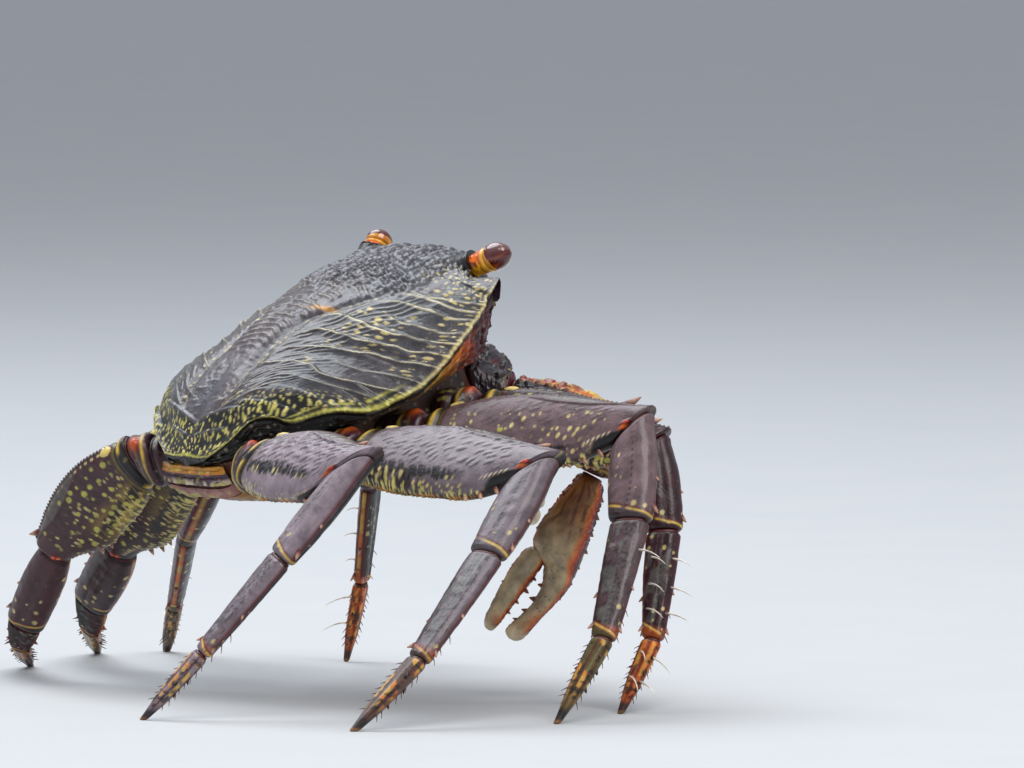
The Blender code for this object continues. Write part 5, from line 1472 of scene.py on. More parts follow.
ARMS = {
    "right": dict(
        hip=(-0.0196, -0.0306, -0.0103),
        elbow=(-0.0327, -0.0432, -0.0159),
        wrist=(-0.0308, -0.0410, -0.0244),
        point=(0.217, 0.434, -0.877),
        thumb=(0.487, 0.731, 0.482),
    ),
    "left": dict(
        hip=(0.0196, -0.0306, -0.0103),
        elbow=(0.0250, -0.0490, -0.0060),
        wrist=(0.0165, -0.0500, -0.0112),
        point=(-0.720, 0.200, -0.660),
        thumb=(-0.634, 0.176, 0.753),
    ),
}
# Palm with its fixed finger, and the movable finger: place in millimetres, upper edge, drop, half thickness
PALM_SHAPE = [
    (0.0, 2.0, 2.4, 2.6), (3.0, 2.6, 3.6, 3.2), (8.0, 3.5, 4.8, 3.8), (13.5, 4.0, 5.7, 3.9),
    (15.6, 3.5, 5.9, 3.7), (17.2, 2.0, 6.1, 3.4), (18.2, 0.0, 6.1, 3.0), (19.3, -0.7, 6.2, 2.9),
    (21.5, -1.6, 5.9, 2.5), (25.0, -1.7, 5.0, 2.1), (29.0, -0.7, 4.0, 1.8), (32.0, 0.2, 3.2, 1.5),
    (33.2, -0.4, 2.6, 0.9),
]
FINGER_SHAPE = [
    (0.0, 1.3, 1.3, 1.9), (1.5, 2.2, 1.9, 2.4), (4.5, 2.6, 2.0, 2.3), (8.5, 2.6, 1.6, 2.0),
    (12.5, 2.2, 1.2, 1.8), (16.0, 1.7, 0.9, 1.5), (17.5, 0.9, 0.4, 0.9),
]
# Rows along and columns round the upper parts, the palm and the finger
ARM_GRID = (70, 84)
PALM_GRID = (210, 96)
FINGER_GRID = (110, 72)
# The finger's hinge: millimetres along the palm and above its axis
FINGER_ROOT = (16.2, 1.9)
FINGER_TURN = math.radians(3.0)
PALM_THORNS = [
    (3.0, 180, 0.6, 0.70, 0.3), (6.2, 180, 0.6, 0.70, 0.3), (9.4, 180, 0.6, 0.70, 0.3),
    (12.6, 180, 0.6, 0.70, 0.3), (15.8, 180, 0.4, 0.70, 0.3), (19.0, 180, 0.3, 0.65, 0.3),
    (22.4, 180, 0.25, 0.60, 0.3), (5.0, 0, 0.4, 0.65, 0.3), (9.0, 0, 0.3, 0.65, 0.3),
    (13.0, 0, 0.25, 0.65, 0.3), (21.8, 0, 0.8, 0.70, 0.2), (24.6, 0, 1.1, 0.80, 0.2),
    (27.2, 0, 0.7, 0.60, 0.2), (29.4, 0, 0.6, 0.50, 0.2),
]
FINGER_THORNS = [
    (5.1, 180, 0.5, 0.60, 0.2), (7.7, 180, 0.8, 0.70, 0.2), (10.3, 180, 0.7, 0.60, 0.2),
    (12.7, 180, 0.5, 0.50, 0.2), (5.0, 0, 0.2, 0.55, 0.3), (8.5, 0, 0.2, 0.50, 0.3),
]
ARM_MERUS_THORNS = [
    (0.30, 0, 0.5, 0.60, 0.4), (0.50, 0, 0.5, 0.60, 0.4), (0.70, 0, 0.6, 0.65, 0.4),
    (0.45, 180, 0.9, 0.70, 0.6), (0.62, 180, 1.1, 0.75, 0.6),
]
ARM_CARPUS_BUMPS = [(0.30, 40, 0.5, 0.65, 0.2), (0.45, -35, 0.5, 0.65, 0.2), (0.62, 15, 0.5, 0.60, 0.2)]
ARM_COXA_SHAPE = [(0.0, 4.0, 4.0, 4.0), (0.5, 3.7, 3.7, 3.6), (1.0, 3.6, 3.6, 3.4)]
ARM_MERUS_SHAPE = [(0.0, 3.5, 3.5, 3.2), (0.3, 4.6, 4.6, 3.6), (0.7, 4.9, 4.9, 3.8), (1.0, 4.2, 4.2, 3.4)]
ARM_CARPUS_SHAPE = [(0.0, 4.0, 4.0, 3.6), (0.3, 4.9, 4.9, 4.6), (0.7, 4.6, 4.6, 4.4), (1.0, 3, 3, 3)]
# Length, radius, depth of the root and radius of the tip
ARM_SPINE = (3.2, 1.3, 1.5, 0.12)
ARM_SPINE_TOWARDS = (0.55, -0.40, -0.73)


# The place of the merus among an arm's segments
ARM_MERUS = 1


def arm_style(limb, seed):
    """Upper parts of the arm: purple black with bumps, and on the merus a red to yellow upper edge."""
    mm, around, share, f = limb.along, limb.around, limb.share, limb.f
    paint = mix(BLACK * 1.3, PURPLE * 0.7, noise(mm * 0.4, around * 0.4, seed))
    knobs = spots(mm / 1.5 + seed, around / 1.4, 0.42, seed + 1, 0.8)
    small = spots(mm / 0.8 + seed, around / 0.8, 0.36, seed + 2, 0.8)
    rise = 0.50 * knobs * patches(mm * 0.3, around * 0.3, seed + 4, 0.20, 0.4) + 0.12 * small
    grain = patches(mm * 1.1, around * 1.1, seed + 1, 0.3, 0.7)
    if seed == ARM_MERUS:
        top = fade(share, 0.12, 0.20)
        paint = layers(
            paint,
            (mix(tone(150, 50, 44), mix(ORANGE, YELLOW, grain), smooth(f, 0.35, 0.75)), 0.9 * top),
            (YELLOW, 0.7 * top * small),
            (BLACK, 0.7 * bell(share, 0.22, 0.03)),
        )
    paint = layers(
        paint,
        (mix(DARK_RED, CREAM * 0.7, grain), 0.7 * smooth(share, 0.76, 0.94)),
        (mix(DARK_RED, MAROON, grain), 0.6 * patches(mm * 0.25, around * 0.25, seed + 3, 0.5, 0.8)),
        (RED, 0.5 * knobs * smooth(share, 0.6, 0.8)),
        (YELLOW, 0.7 * bell(limb.left, 1.4, 0.25) * patches(around * 0.4, seed, 3, 0.3, 0.5)),
        (DARK_RED, 0.8 * fade(limb.left, 0.5, 0.9)),
    )
    return rise, paint, 0.08


def palm_style(limb, length, whole):
    """A claw: cream within, with veins from the wrist, and a dark red outer edge set with grains."""
    mm, around, share = limb.along, limb.around, limb.share
    grain = noise(mm * 0.8, around * 0.8, 2)
    pale = mix(tone(168, 152, 116), tone(190, 176, 142), grain)
    paint = mix(tone(132, 84, 34), pale, smooth(mm, 5, 17)) if whole else pale
    paint = mix(paint, SLATE * 1.6, 0.30 * patches(mm * 0.3, share * 5, 1, 0.5, 0.8))
    radial = np.arctan2(9 * share - 3.0, mm + 2.5)
    vein = (
        smooth(np.cos(radial * 34 + 4 * noise(mm * 0.35, share * 6, 4)), 0.25, 0.80) * fade(mm, 6, 17)
        * whole
    )
    vein = vein * patches(mm * 0.7, share * 9, 6, 0.15, 0.4)
    paint = mix(paint, tone(88, 44, 26), 0.85 * vein)
    grains = spots(mm / 0.9, around / 0.9, 0.40, 3, 0.8)
    edge = share + 0.05 * (noise(mm * 0.5, 0.0, 3) - 0.5)
    outer = smooth(edge, 0.64, 0.74)
    paint = layers(
        paint,
        (mix(AMBER, ORANGE, smooth(edge, 0.66, 0.74)), 0.85 * outer),
        (mix(RED, ORANGE, 0.25), smooth(edge, 0.75, 0.80)),
        (DARK_RED * 0.8, smooth(edge, 0.82, 0.87)),
        (BLACK, 0.8 * smooth(edge, 0.89, 0.94)),
        (BLACK, 0.5 * smooth(edge, 0.80, 0.86) * grains),
    )
    top = fade(share, 0.07, 0.16)
    paint = layers(
        paint,
        (mix(DARK_RED, ORANGE, grain), 0.85 * top),
        (ORANGE * 0.8, 0.6 * bell(mm, length * 0.86, length * 0.07) * smooth(share, 0.3, 0.6)),
    )
    flecks = spots(mm / 1.6, around / 1.5, 0.10, 5) * smooth(mm, 12, 18)
    paint = layers(
        paint,
        (BLACK, 0.7 * flecks * (1 - outer)),
        (CREAM, smooth(mm, length * 0.90, length * 0.97)),
    )
    rise = (
        (0.08 + 0.18 * fade(mm, 6, 14) * whole) * grains * (outer + top)
        + 0.14 * (noise(mm * 0.7, around * 0.7, 7) - 0.5) - 0.08 * vein
    )
    return rise, paint, 0.05


def arm_segment(name, start, end, ups, table, cuts, sign, thorns, chance, seed):
    limb = Limb(start, end, ups, table, cuts, *ARM_GRID, sign)
    piece = Piece("skin_" + name, name, "claw", LEG_LOOK)
    limb.finish(piece, *arm_style(limb, seed))
    limb.membrane(piece, DARK_RED)
    limb_spikes(piece, limb, thorns, 1.0, chance, RED, YELLOW)
    return limb, piece


def make_arm(side, chance):
    sign = 1 if side == "right" else -1
    arm = ARMS[side]
    hip, elbow, wrist = (CENTRE + np.array(arm[k]) for k in ("hip", "elbow", "wrist"))
    point = unit(np.array(arm["point"]))
    thumb = np.array(arm["thumb"])
    thumb = unit(thumb - (thumb @ point) * point)
    root, facing = facet(sign, 1)
    axes = [unit(hip - root), unit(elbow - hip), unit(wrist - elbow), point]
    joints = [hip, elbow, wrist]
    planes = [(root + facing * GAP / 2, facing)]
    planes += [joint_plane(joints[i], axes[i], axes[i + 1]) for i in range(3)]
    top = unit(UP - (UP @ axes[1]) * axes[1])
    outer = unit(axes[1] - (axes[1] @ axes[2]) * axes[2])
    name = "claw_" + side
    parts = (
        ("_coxa", root, hip, (DORSAL, DORSAL), ARM_COXA_SHAPE, []),
        ("_merus", hip, elbow, (top, top), ARM_MERUS_SHAPE, ARM_MERUS_THORNS),
        ("_carpus", elbow, wrist, (outer, outer), ARM_CARPUS_SHAPE, ARM_CARPUS_BUMPS),
    )
    for i, (part, start, end, ups, table, thorns) in enumerate(parts):
        cuts = planes[i : i + 2]
        limb, piece = arm_segment(name + part, start, end, ups, table, cuts, sign, thorns, chance, i)
        if part == "_carpus":
            add_spike(piece, arm_spine(limb, sign), RED, WHITE)
        piece.make()
    start = wrist + point * GAP
    make_claw_part(name + "_palm", start, point, thumb, PALM_SHAPE, PALM_THORNS, PALM_GRID, sign, chance)
    start = start + (point * FINGER_ROOT[0] + thumb * FINGER_ROOT[1]) * MM
    axis = unit(math.cos(FINGER_TURN) * point + math.sin(FINGER_TURN) * thumb)
    up = unit(thumb - (thumb @ axis) * axis)
    make_claw_part(name + "_finger", start, axis, up, FINGER_SHAPE, FINGER_THORNS, FINGER_GRID, sign, chance)


def make_claw_part(name, start, axis, up, shape, thorns, grid, sign, chance):
    whole, length = shape is PALM_SHAPE, shape[-1][0]
    end = start + axis * length * MM
    table, thorns = ([(row[0] / length, *row[1:]) for row in rows] for rows in (shape, thorns))
    limb = Limb(start, end, (up, up), table, ((start, axis), (end, axis)), *grid, sign, (1.0, 0.9))
    piece = Piece("skin_" + name, name, "claw", CLAW_LOOK)
    limb.finish(piece, *palm_style(limb, length, whole), 0.9 if whole else 0.4)
    limb.membrane(piece, DARK_RED if whole else mix(CREAM, DARK_RED, 0.5))
    limb_spikes(piece, limb, thorns, 1.0, chance, DARK_RED, tone(150, 90, 60), 0.0)
    piece.make()


def arm_spine(carpus, sign):
    """The strong spine at the inner corner of a claw arm's carpus."""
    x, y, z = ARM_SPINE_TOWARDS
    towards = unit(np.array([sign * x, y, z]))
    s = 0.5
    up, across = (v for v in carpus.frame_at(np.array([s])))
    high, _, thick = flowing(carpus.table, np.array(s)) * MM
    flat = towards - (towards @ carpus.axis) * carpus.axis
    reach = 1 / math.hypot((flat @ up) / high, (flat @ across) / thick)
    point = carpus.start + s * carpus.run + reach * flat
    return spike(point, towards, *ARM_SPINE)


def make_arms():
    chance = np.random.default_rng(12)
    for side in ("right", "left"):
        make_arm(side, chance)


make_arms()


# Eyes

# Place along the stalk and radius against the stalk's own
STALK_SHAPE = [
    (0.0, 0.86), (0.12, 0.90), (0.29, 0.92), (0.42, 0.98), (0.49, 1.02), (0.55, 1.06), (0.58, 1.00),
]
CORNEA_SHAPE = [
    (0.575, 0.96), (0.60, 1.08), (0.68, 1.15), (0.80, 1.08), (0.91, 0.78), (0.97, 0.45), (1.0, 0.10),
]
STALK_GRID = (70, 72)
CORNEA_GRID = (60, 72)


def round_skin(root, axis, table, length, rows, columns):
    """A surface turned round an axis, from a table of place and radius against the stalk's own."""
    up = unit(DORSAL - (DORSAL @ axis) * axis)
    side = np.cross(axis, up)
    s = np.linspace(table[0][0], table[-1][0], rows)
    radius = flowing(table, s)[:, 0] * STALK_RADIUS
    turn = np.arange(columns) * 2 * math.pi / columns
    ring = np.cos(turn)[:, None] * up + np.sin(turn)[:, None] * side
    points = root + (s * length)[:, None, None] * axis + radius[:, None, None] * ring[None]
    return points, s[:, None] + 0 * turn, turn + 0 * s[:, None]


def make_eyes():
    for name in EYES:
        root, axis, length = eye_axis(name)
        points, s, turn = round_skin(root, axis, STALK_SHAPE, length, *STALK_GRID)
        place, around = s * length / MM, turn * STALK_RADIUS / MM
        grain = noise(place * 1.4, around * 1.4, 3)
        rise = 0.14 * smooth(grain, 0.5, 0.9) * fade(s, 0.4, 0.5)
        points = lifted(points, rise, outward(points))
        paint = mix(
            tone(232, 112, 20),
            tone(240, 176, 36),
            smooth(0.35 - np.cos(turn) + 0.8 * (grain - 0.5), -0.1, 0.5),
        )
        marks = patches(place * 0.9, around * 0.7 + 2, 4, 0.52, 0.66) * smooth(np.cos(turn), -0.3, 0.2)
        paint = layers(
            paint,
            (DARK_RED, 0.85 * marks * span(s, 0.08, 0.16, 0.40, 0.46)),
            (DARK_RED, 0.8 * bell(s, 0.47, 0.02) * patches(around * 0.9, place, 4, 0.35, 0.6)),
            (tone(226, 176, 60), 0.9 * smooth(s, 0.50, 0.54)),
            (BLACK, 0.9 * fade(s, 0.02, 0.08)),
        )
        piece = Piece("stalk_" + name, "eye_stalk_" + name, "eyestalk", STALK_LOOK)
        piece.cover(points, paint, 0.25)
        piece.make()
        points, s, turn = round_skin(root, axis, CORNEA_SHAPE, length, *CORNEA_GRID)
        facing = np.cos(turn)
        paint = mix(tone(110, 18, 10), tone(40, 8, 8), smooth(s, 0.62, 0.8) * 0.6)
        paint = layers(
            paint,
            (ORANGE, 0.6 * patches(turn * 4, s * 2, 2, 0.55, 0.75) * smooth(-facing, -0.3, 0.5)),
            # painted highlight on the top of the cornea
            (tone(112, 84, 84), 0.75 * smooth(facing, 0.35, 0.85) * smooth(s, 0.66, 0.80)),
        )
        outer = 1.0 if name == "right" else -1.0
        ahead = outward(points) @ unit(0.5 * DORSAL + outer * RIGHT + 0.8 * FORWARD)
        border = 0.60 + 0.17 * smooth(-ahead, -0.3, 0.7)
        paint = layers(
            paint,
            (BLACK, 0.8 * bell(s, border + 0.03, 0.014)),
            (
                mix(tone(226, 176, 60), tone(224, 130, 30), noise(turn * 3, s * 9, 4)),
                smooth(border - s, -0.006, 0.006),
            ),
        )
        piece = Piece("cornea_" + name, "eye_" + name, "eye", CORNEA_LOOK)
        piece.cover(points, paint, 0.5)
        piece.make()


make_eyes()


# Flanks and face under the shell

FLANK_ROWS = 220
FLANK_COLUMNS = 46
CHEEK_STEPS = 12
FLANK_LIP = (0.016, 0.013)
FLANK_HEIGHT = 15.0
# How far the back of a closed skin lies behind its face
FLANK_THICKNESS = 0.06
FACE_THICKNESS = 0.05


def under_edge(t):
    """Points of the flank's wall and rim under the shell's edge at t, above 1 down the face, and the edge."""
    beyond = np.maximum(t - 1.0, 0.0)
    x, y, z = shell_base(np.ones_like(t), np.minimum(t, 1.0))
    drop = flowing([(0.0, 0.0, 0.0)] + [((i + 1) / 3, r[2], r[3]) for i, r in enumerate(FACE_ROWS)], beyond)
    y, z = y - drop[..., 0], z - drop[..., 1]
    floor_y = np.where(t > 1.0, FACE_Y, np.clip(y, -0.44, 0.34) - 0.02 * (1 - t))
    ahead = np.interp(t, (0.75, 1.0), (0.0, 1.0))
    down = 0.55 + 0.10 * ahead
    wall = (np.maximum(x - 0.05, x * 0.8) - 0.012 * ahead, y - 0.045 * ahead, z + (SHELL_FLOOR - z) * down)
    rim = (np.maximum(x - 0.095, x * 0.62), floor_y - 0.055 * ahead, np.full_like(x, SHELL_FLOOR))
    edge = (x - FLANK_LIP[0], y - 0.010 * ahead, z - FLANK_LIP[1])
    return [np.stack(p, axis=-1) for p in (edge, wall, rim)]


def flank_marks(t, q, seed):
    """Rise in millimetres and colour of a flank, for t along it and q from the shell's edge to its rim."""
    length, height = t * SHELL_LENGTH, q * FLANK_HEIGHT
    net = np.minimum(
        noise(length * 0.55, height * 0.75, seed), 1 - noise(length * 0.6 + 5, height * 0.8, seed + 1)
    )
    grain = noise(length * 1.2, height * 1.6, seed + 2)
    plain = span(t, 0.62, 0.70, 0.80, 0.86)
    rise = (0.45 * smooth(net, 0.25, 0.5) + 0.22 * smooth(grain, 0.55, 0.85)) * (1 - 0.75 * plain)
    rise += 0.25 * np.maximum(ripple(height, 3.4), 0.0) * smooth(q, 0.1, 0.3)
    paint = mix(BLACK, mix(DARK_RED, OLIVE, grain), smooth(t, 0.40, 0.58))
    paint = layers(
        paint,
        (mix(YELLOW, AMBER, grain), smooth(t, 0.60, 0.66) * (0.35 + 0.65 * smooth(net, 0.15, 0.3))),
        (mix(ORANGE, AMBER, grain), smooth(t, 0.69, 0.75)),
        (mix(RED, ORANGE * 0.7, grain), smooth(t, 0.76, 0.81)),
        (mix(DARK_RED, PURPLE * 0.8, net), smooth(t, 0.81, 0.87)),
        (BLACK, 0.6 * fade(net, 0.20, 0.30) * (1 - 0.8 * plain)),
        (BLACK, 0.6 * smooth(q, 0.55, 0.9) * fade(t, 0.50, 0.62)),
        (BLACK, 0.8 * smooth(q, 0.45, 0.75) * plain * smooth(net, 0.2, 0.4)),
        (BLACK, 0.9 * fade(q, 0.05, 0.12)),
    )
    return rise, paint


def make_flanks():
    t = np.concatenate(
        [np.linspace(0.0, 1.0, FLANK_ROWS - CHEEK_STEPS), np.linspace(1.0, 2.0, CHEEK_STEPS + 1)[1:]]
    )
    edge, wall, rim = under_edge(t)
    q = np.linspace(0.0, 1.0, FLANK_COLUMNS)[None, :, None]
    first, middle, last = (p[:, None, :] for p in (edge, wall, rim))
    curve = first * (2 * q * q - 3 * q + 1) + middle * (4 * q - 4 * q * q) + last * (2 * q * q - q)
    piece = Piece("shell_flanks", "carapace", "underside", BELLY_LOOK)
    grid_t, grid_q = t[:, None] + 0 * q[..., 0], q[..., 0] + 0 * t[:, None]
    for sign in (1, -1):
        points = body(sign * curve[..., 0], curve[..., 1], curve[..., 2])
        normals = grid_normals(points, False)
        normals *= np.sign((normals * RIGHT * sign).sum())
        rise, paint = flank_marks(
            np.minimum(grid_t, 1.0) + 0.15 * np.maximum(grid_t - 1, 0), grid_q, 1 if sign > 0 else 4
        )
        ends = smooth(grid_q, 0.0, 0.08) * smooth(1 - grid_q, 0.0, 0.05)
        points = lifted(points, rise * ends, normals)
        inside = points[:, [-1, 0]] - sign * FLANK_THICKNESS * WIDTH * RIGHT
        rings = np.concatenate([points, inside], axis=1)
        paint = np.concatenate([paint, np.repeat(paint[:, -1:], 2, axis=1)], axis=1)
        piece.cover(rings, paint, 0.25, 0.08)
    piece.make()


FACE_HALF = 110
FACE_HEIGHT = 64
# A spine beside each eye: its foot and where it points
FACE_SPINE = ((0.196, 0.405, -0.030), (0.25, 0.55, -0.75))
# Stubs of the antennae and antennules: place of the foot, and length in millimetres
STUBS = ((0.060, 0.425, -0.060, 2.6), (0.092, 0.425, -0.060, 2.2))
STUB_TOWARDS = (0.25, 0.55, -0.8)


def face_marks(x, v):
    """Rise in millimetres and colour of the face, for x across it and v from under the front to the mouth."""
    across = np.abs(x)
    grain = noise(x * 70, v * 9, 3)
    rise = 0.9 * bell(v, 0.66, 0.07) * fade(across, 0.15, 0.20)
    rise += 0.7 * bell(v, 0.93, 0.05) * fade(across, 0.13, 0.17)
    rise += 0.9 * bell(across, 0.0, 0.016) * bell(v, 0.28, 0.22)
    rise -= 1.3 * bell(across, 0.085, 0.050) * bell(v, 0.30, 0.17)
    ridge = bell(v, 0.42 + 0.5 * (across - 0.2), 0.06) * smooth(across, 0.19, 0.23)
    rise += (0.8 + 0.3 * ripple(x, 0.017)) * ridge
    rise -= 0.8 * bell(v, 0.16, 0.12) * smooth(across, 0.22, 0.26)
    rise += 0.4 * smooth(grain, 0.5, 0.85)
    paint = mix(PURPLE, MAROON, grain)
    paint = layers(
        paint,
        (mix(ORANGE, YELLOW, grain), 0.85 * smooth(v, 0.50, 0.66) * smooth(grain, 0.25, 0.55)),
        (CREAM, 0.7 * bell(v, 0.66, 0.05) * fade(across, 0.15, 0.20)),
        (ORANGE, 0.8 * ridge),
        (BLACK, 0.8 * bell(across, 0.085, 0.045) * bell(v, 0.28, 0.14)),
        (BLACK, 0.85 * fade(v, 0.03, 0.12)),
    )
    return rise, paint


def make_face():
    u = np.linspace(-1.0, 1.0, 2 * FACE_HALF + 1)
    v = np.linspace(0.0, 1.0, FACE_HEIGHT)[:, None]
    last_x, last_y, last_z = shell_base(u, np.ones_like(u))
    inside = 1 - smooth(np.abs(last_x), *FRONT_HALF)
    top_y = last_y + (0.018 * inside - 0.016 * (1 - inside)) - 0.014
    top_z = last_z - (0.105 * inside + 0.044 * (1 - inside)) + 0.010
    low_x, low_y = last_x * 0.305 / 0.400, FACE_Y - 0.055 * np.abs(u) ** 1.5
    x = last_x * 0.985 * (1 - v) + low_x * v
    y = top_y * (1 - v) + low_y * v
    z = top_z * (1 - v) + (SHELL_FLOOR - 0.004) * v
    points = body(x, y, z)
    normals = grid_normals(points, False)
    normals *= np.sign((normals @ FORWARD).sum())
    rise, paint = face_marks(x, v + 0 * x)
    ends = smooth(v, 0.0, 0.06) * smooth(1 - v, 0.0, 0.03) * smooth(1 - np.abs(u), 0.0, 0.05)
    points = lifted(points, rise * ends, normals)
    for side in EYES:
        root, axis, _ = eye_axis(side)
        points, _ = push_out(points, root, axis, STALK_RADIUS + SOCKET_ROOM)
    behind = body(x, y - FACE_THICKNESS, z)[:, ::-1]
    rings = np.concatenate([points, behind], axis=1)
    paint = np.concatenate([paint, paint[:, ::-1]], axis=1)
    piece = Piece("shell_face", "carapace", "underside", BELLY_LOOK)
    piece.cover(rings, paint, 0.2, 0.05)
    chance = np.random.default_rng(8)
    for sign in (1, -1):
        (x, y, z), (right, ahead, up) = FACE_SPINE
        towards = body_direction(sign * right, ahead, up)
        rings = spike(body(sign * x, y, z), towards, 3.8, 0.65, 1.0, 0.14, 0.2 * FORWARD, 10, 16)
        add_spike(piece, rings, ORANGE, DARK_RED)
        for x, y, z, reach in STUBS:
            towards = body_direction(sign * STUB_TOWARDS[0], *STUB_TOWARDS[1:])
            rings = spike(body(sign * x, y, z), towards, reach, 0.75, 1.2, 0.3, (0, 0, 0), 10, 9)
            add_spike(piece, rings, PURPLE, CREAM * chance.uniform(0.7, 0.9))
    piece.make()


# Thorax and abdomen

BELLY = [(-0.440, -0.240), (-0.300, -0.285), (-0.100, -0.320), (0.150, -0.335), (0.360, -0.320)]
THORAX_AROUND = 360
THORAX_RINGS = 74
# Share of the way down, size across and along, share of the drop to the belly, and height above it
THORAX_ROWS = [
    (0.00, 1.00, 1.00, 0.00, 0.045), (0.34, 1.00, 1.00, 1.00, 0.045), (0.46, 0.965, 0.979, 1.00, 0.026),
    (0.56, 0.86, 0.916, 1.00, 0.012), (0.78, 0.55, 0.73, 1.00, 0.000), (1.00, 0.06, 0.10, 1.00, 0.000),
]


def thorax_plan(count):
    """Points evenly round the thorax's outline, softened at its corners, and nearness to a corner."""
    right = list(FACET_CORNERS)
    corners = [(0.0, FACE_Y)] + right + [(0.0, -0.440)] + [(-x, y) for x, y in right[::-1]]
    corners = np.array(corners + [corners[0]])
    steps = np.linalg.norm(np.diff(corners, axis=0), axis=1)
    place = np.concatenate([[0.0], np.cumsum(steps)])
    at = np.linspace(0.0, place[-1], count, endpoint=False)
    plan = np.stack([np.interp(at, place, corners[:, i]) for i in (0, 1)], axis=1)
    soft = sum(np.roll(plan, k, axis=0) for k in range(-5, 6)) / 11
    joint = place[1:7].tolist() + place[8:14].tolist()
    near = np.min(np.abs(at[:, None] - np.array(joint)), axis=1)
    return soft, near * WIDTH / MM


def make_thorax():
    plan, near = thorax_plan(THORAX_AROUND)
    v = np.linspace(0.0, 1.0, THORAX_RINGS)
    shape = flowing(THORAX_ROWS, v)
    x = plan[None, :, 0] * shape[:, 0:1]
    y = plan[None, :, 1] * shape[:, 1:2]
    level = np.interp(plan[:, 1], [b[0] for b in BELLY], [b[1] for b in BELLY])[None, :]
    inner = np.interp(y, [b[0] for b in BELLY], [b[1] for b in BELLY])
    low = level + (inner - level) * smooth(v, 0.7, 1.0)[:, None] + shape[:, 3:4]
    z = (SHELL_FLOOR - 0.006) * (1 - shape[:, 2:3]) + low * shape[:, 2:3]
    points = body(x, y, z)
    grain = noise(x * 45, y * 45, 2)
    suture = bell(near[None, :] + 0 * v[:, None], 0.0, 0.9) * smooth(v, 0.2, 0.4)[:, None]
    suture *= fade(v, 0.85, 0.97)[:, None]
    hollow = smooth(np.minimum(near, 6.0), 1.5, 5.0)[None, :] * bell(v, 0.20, 0.14)[:, None]
    rise = 0.35 * (grain - 0.5) - 0.55 * suture - 0.5 * hollow
    rise += 0.25 * patches(x * 120, y * 120, 5, 0.6, 0.85)
    points = lifted(points, rise, outward(points))
    paint = mix(CREAM * 0.75, MUSTARD * 0.7, grain)
    paint = layers(
        paint,
        (PURPLE, 0.55 * patches(x * 22, y * 22, 6, 0.5, 0.8)),
        (DARK_RED, 0.7 * suture),
    )
    wall = fade(v, 0.24, 0.36)[:, None] + 0 * x
    paint = layers(
        paint,
        (mix(BLACK, DARK_RED, grain), 0.85 * wall),
        (YELLOW, 0.6 * bell(v, 0.36, 0.03)[:, None] * smooth(grain, 0.3, 0.5)),
    )
    piece = Piece("breastplate", "thorax", "underside", BELLY_LOOK)
    piece.cover(points, paint, 0.3, 0.05)
    piece.make()


# Rows down the middle of the abdomen: y, z, half its width, and thickness against ABDOMEN_THICKNESS
ABDOMEN = [
    (-0.4470, -0.1570, 0.148, 1.0), (-0.4490, -0.1760, 0.156, 1.2), (-0.4495, -0.1800, 0.160, 0.9),
    (-0.4480, -0.2030, 0.168, 1.2), (-0.4470, -0.2070, 0.170, 0.9), (-0.4280, -0.2330, 0.170, 1.2),
    (-0.4240, -0.2360, 0.168, 0.9), (-0.3700, -0.2640, 0.160, 1.1), (-0.3100, -0.2950, 0.150, 1.0),
    (-0.2000, -0.3220, 0.135, 1.1), (-0.1000, -0.3400, 0.110, 1.0), (0.0000, -0.3500, 0.080, 1.1),
    (0.0800, -0.3560, 0.050, 1.0), (0.1500, -0.3600, 0.020, 0.9),
]
ABDOMEN_THICKNESS = 0.024
ABDOMEN_COLUMNS = 90
# Tergites: first and last row, and their main and second colour
TERGITES = [
    (0.0, 1.5, MUSTARD, ORANGE),
    (1.5, 3.5, PURPLE * 1.5, CREAM),
    (3.5, 5.5, PINK * 0.8, YELLOW_GREEN),
    (5.5, 7.6, MUSTARD * 0.8, PURPLE),
    (7.6, 9.2, CREAM * 0.8, MUSTARD),
    (9.2, 11.2, CREAM * 0.8, PINK),
    (11.2, 13.0, CREAM * 0.85, MUSTARD),
]


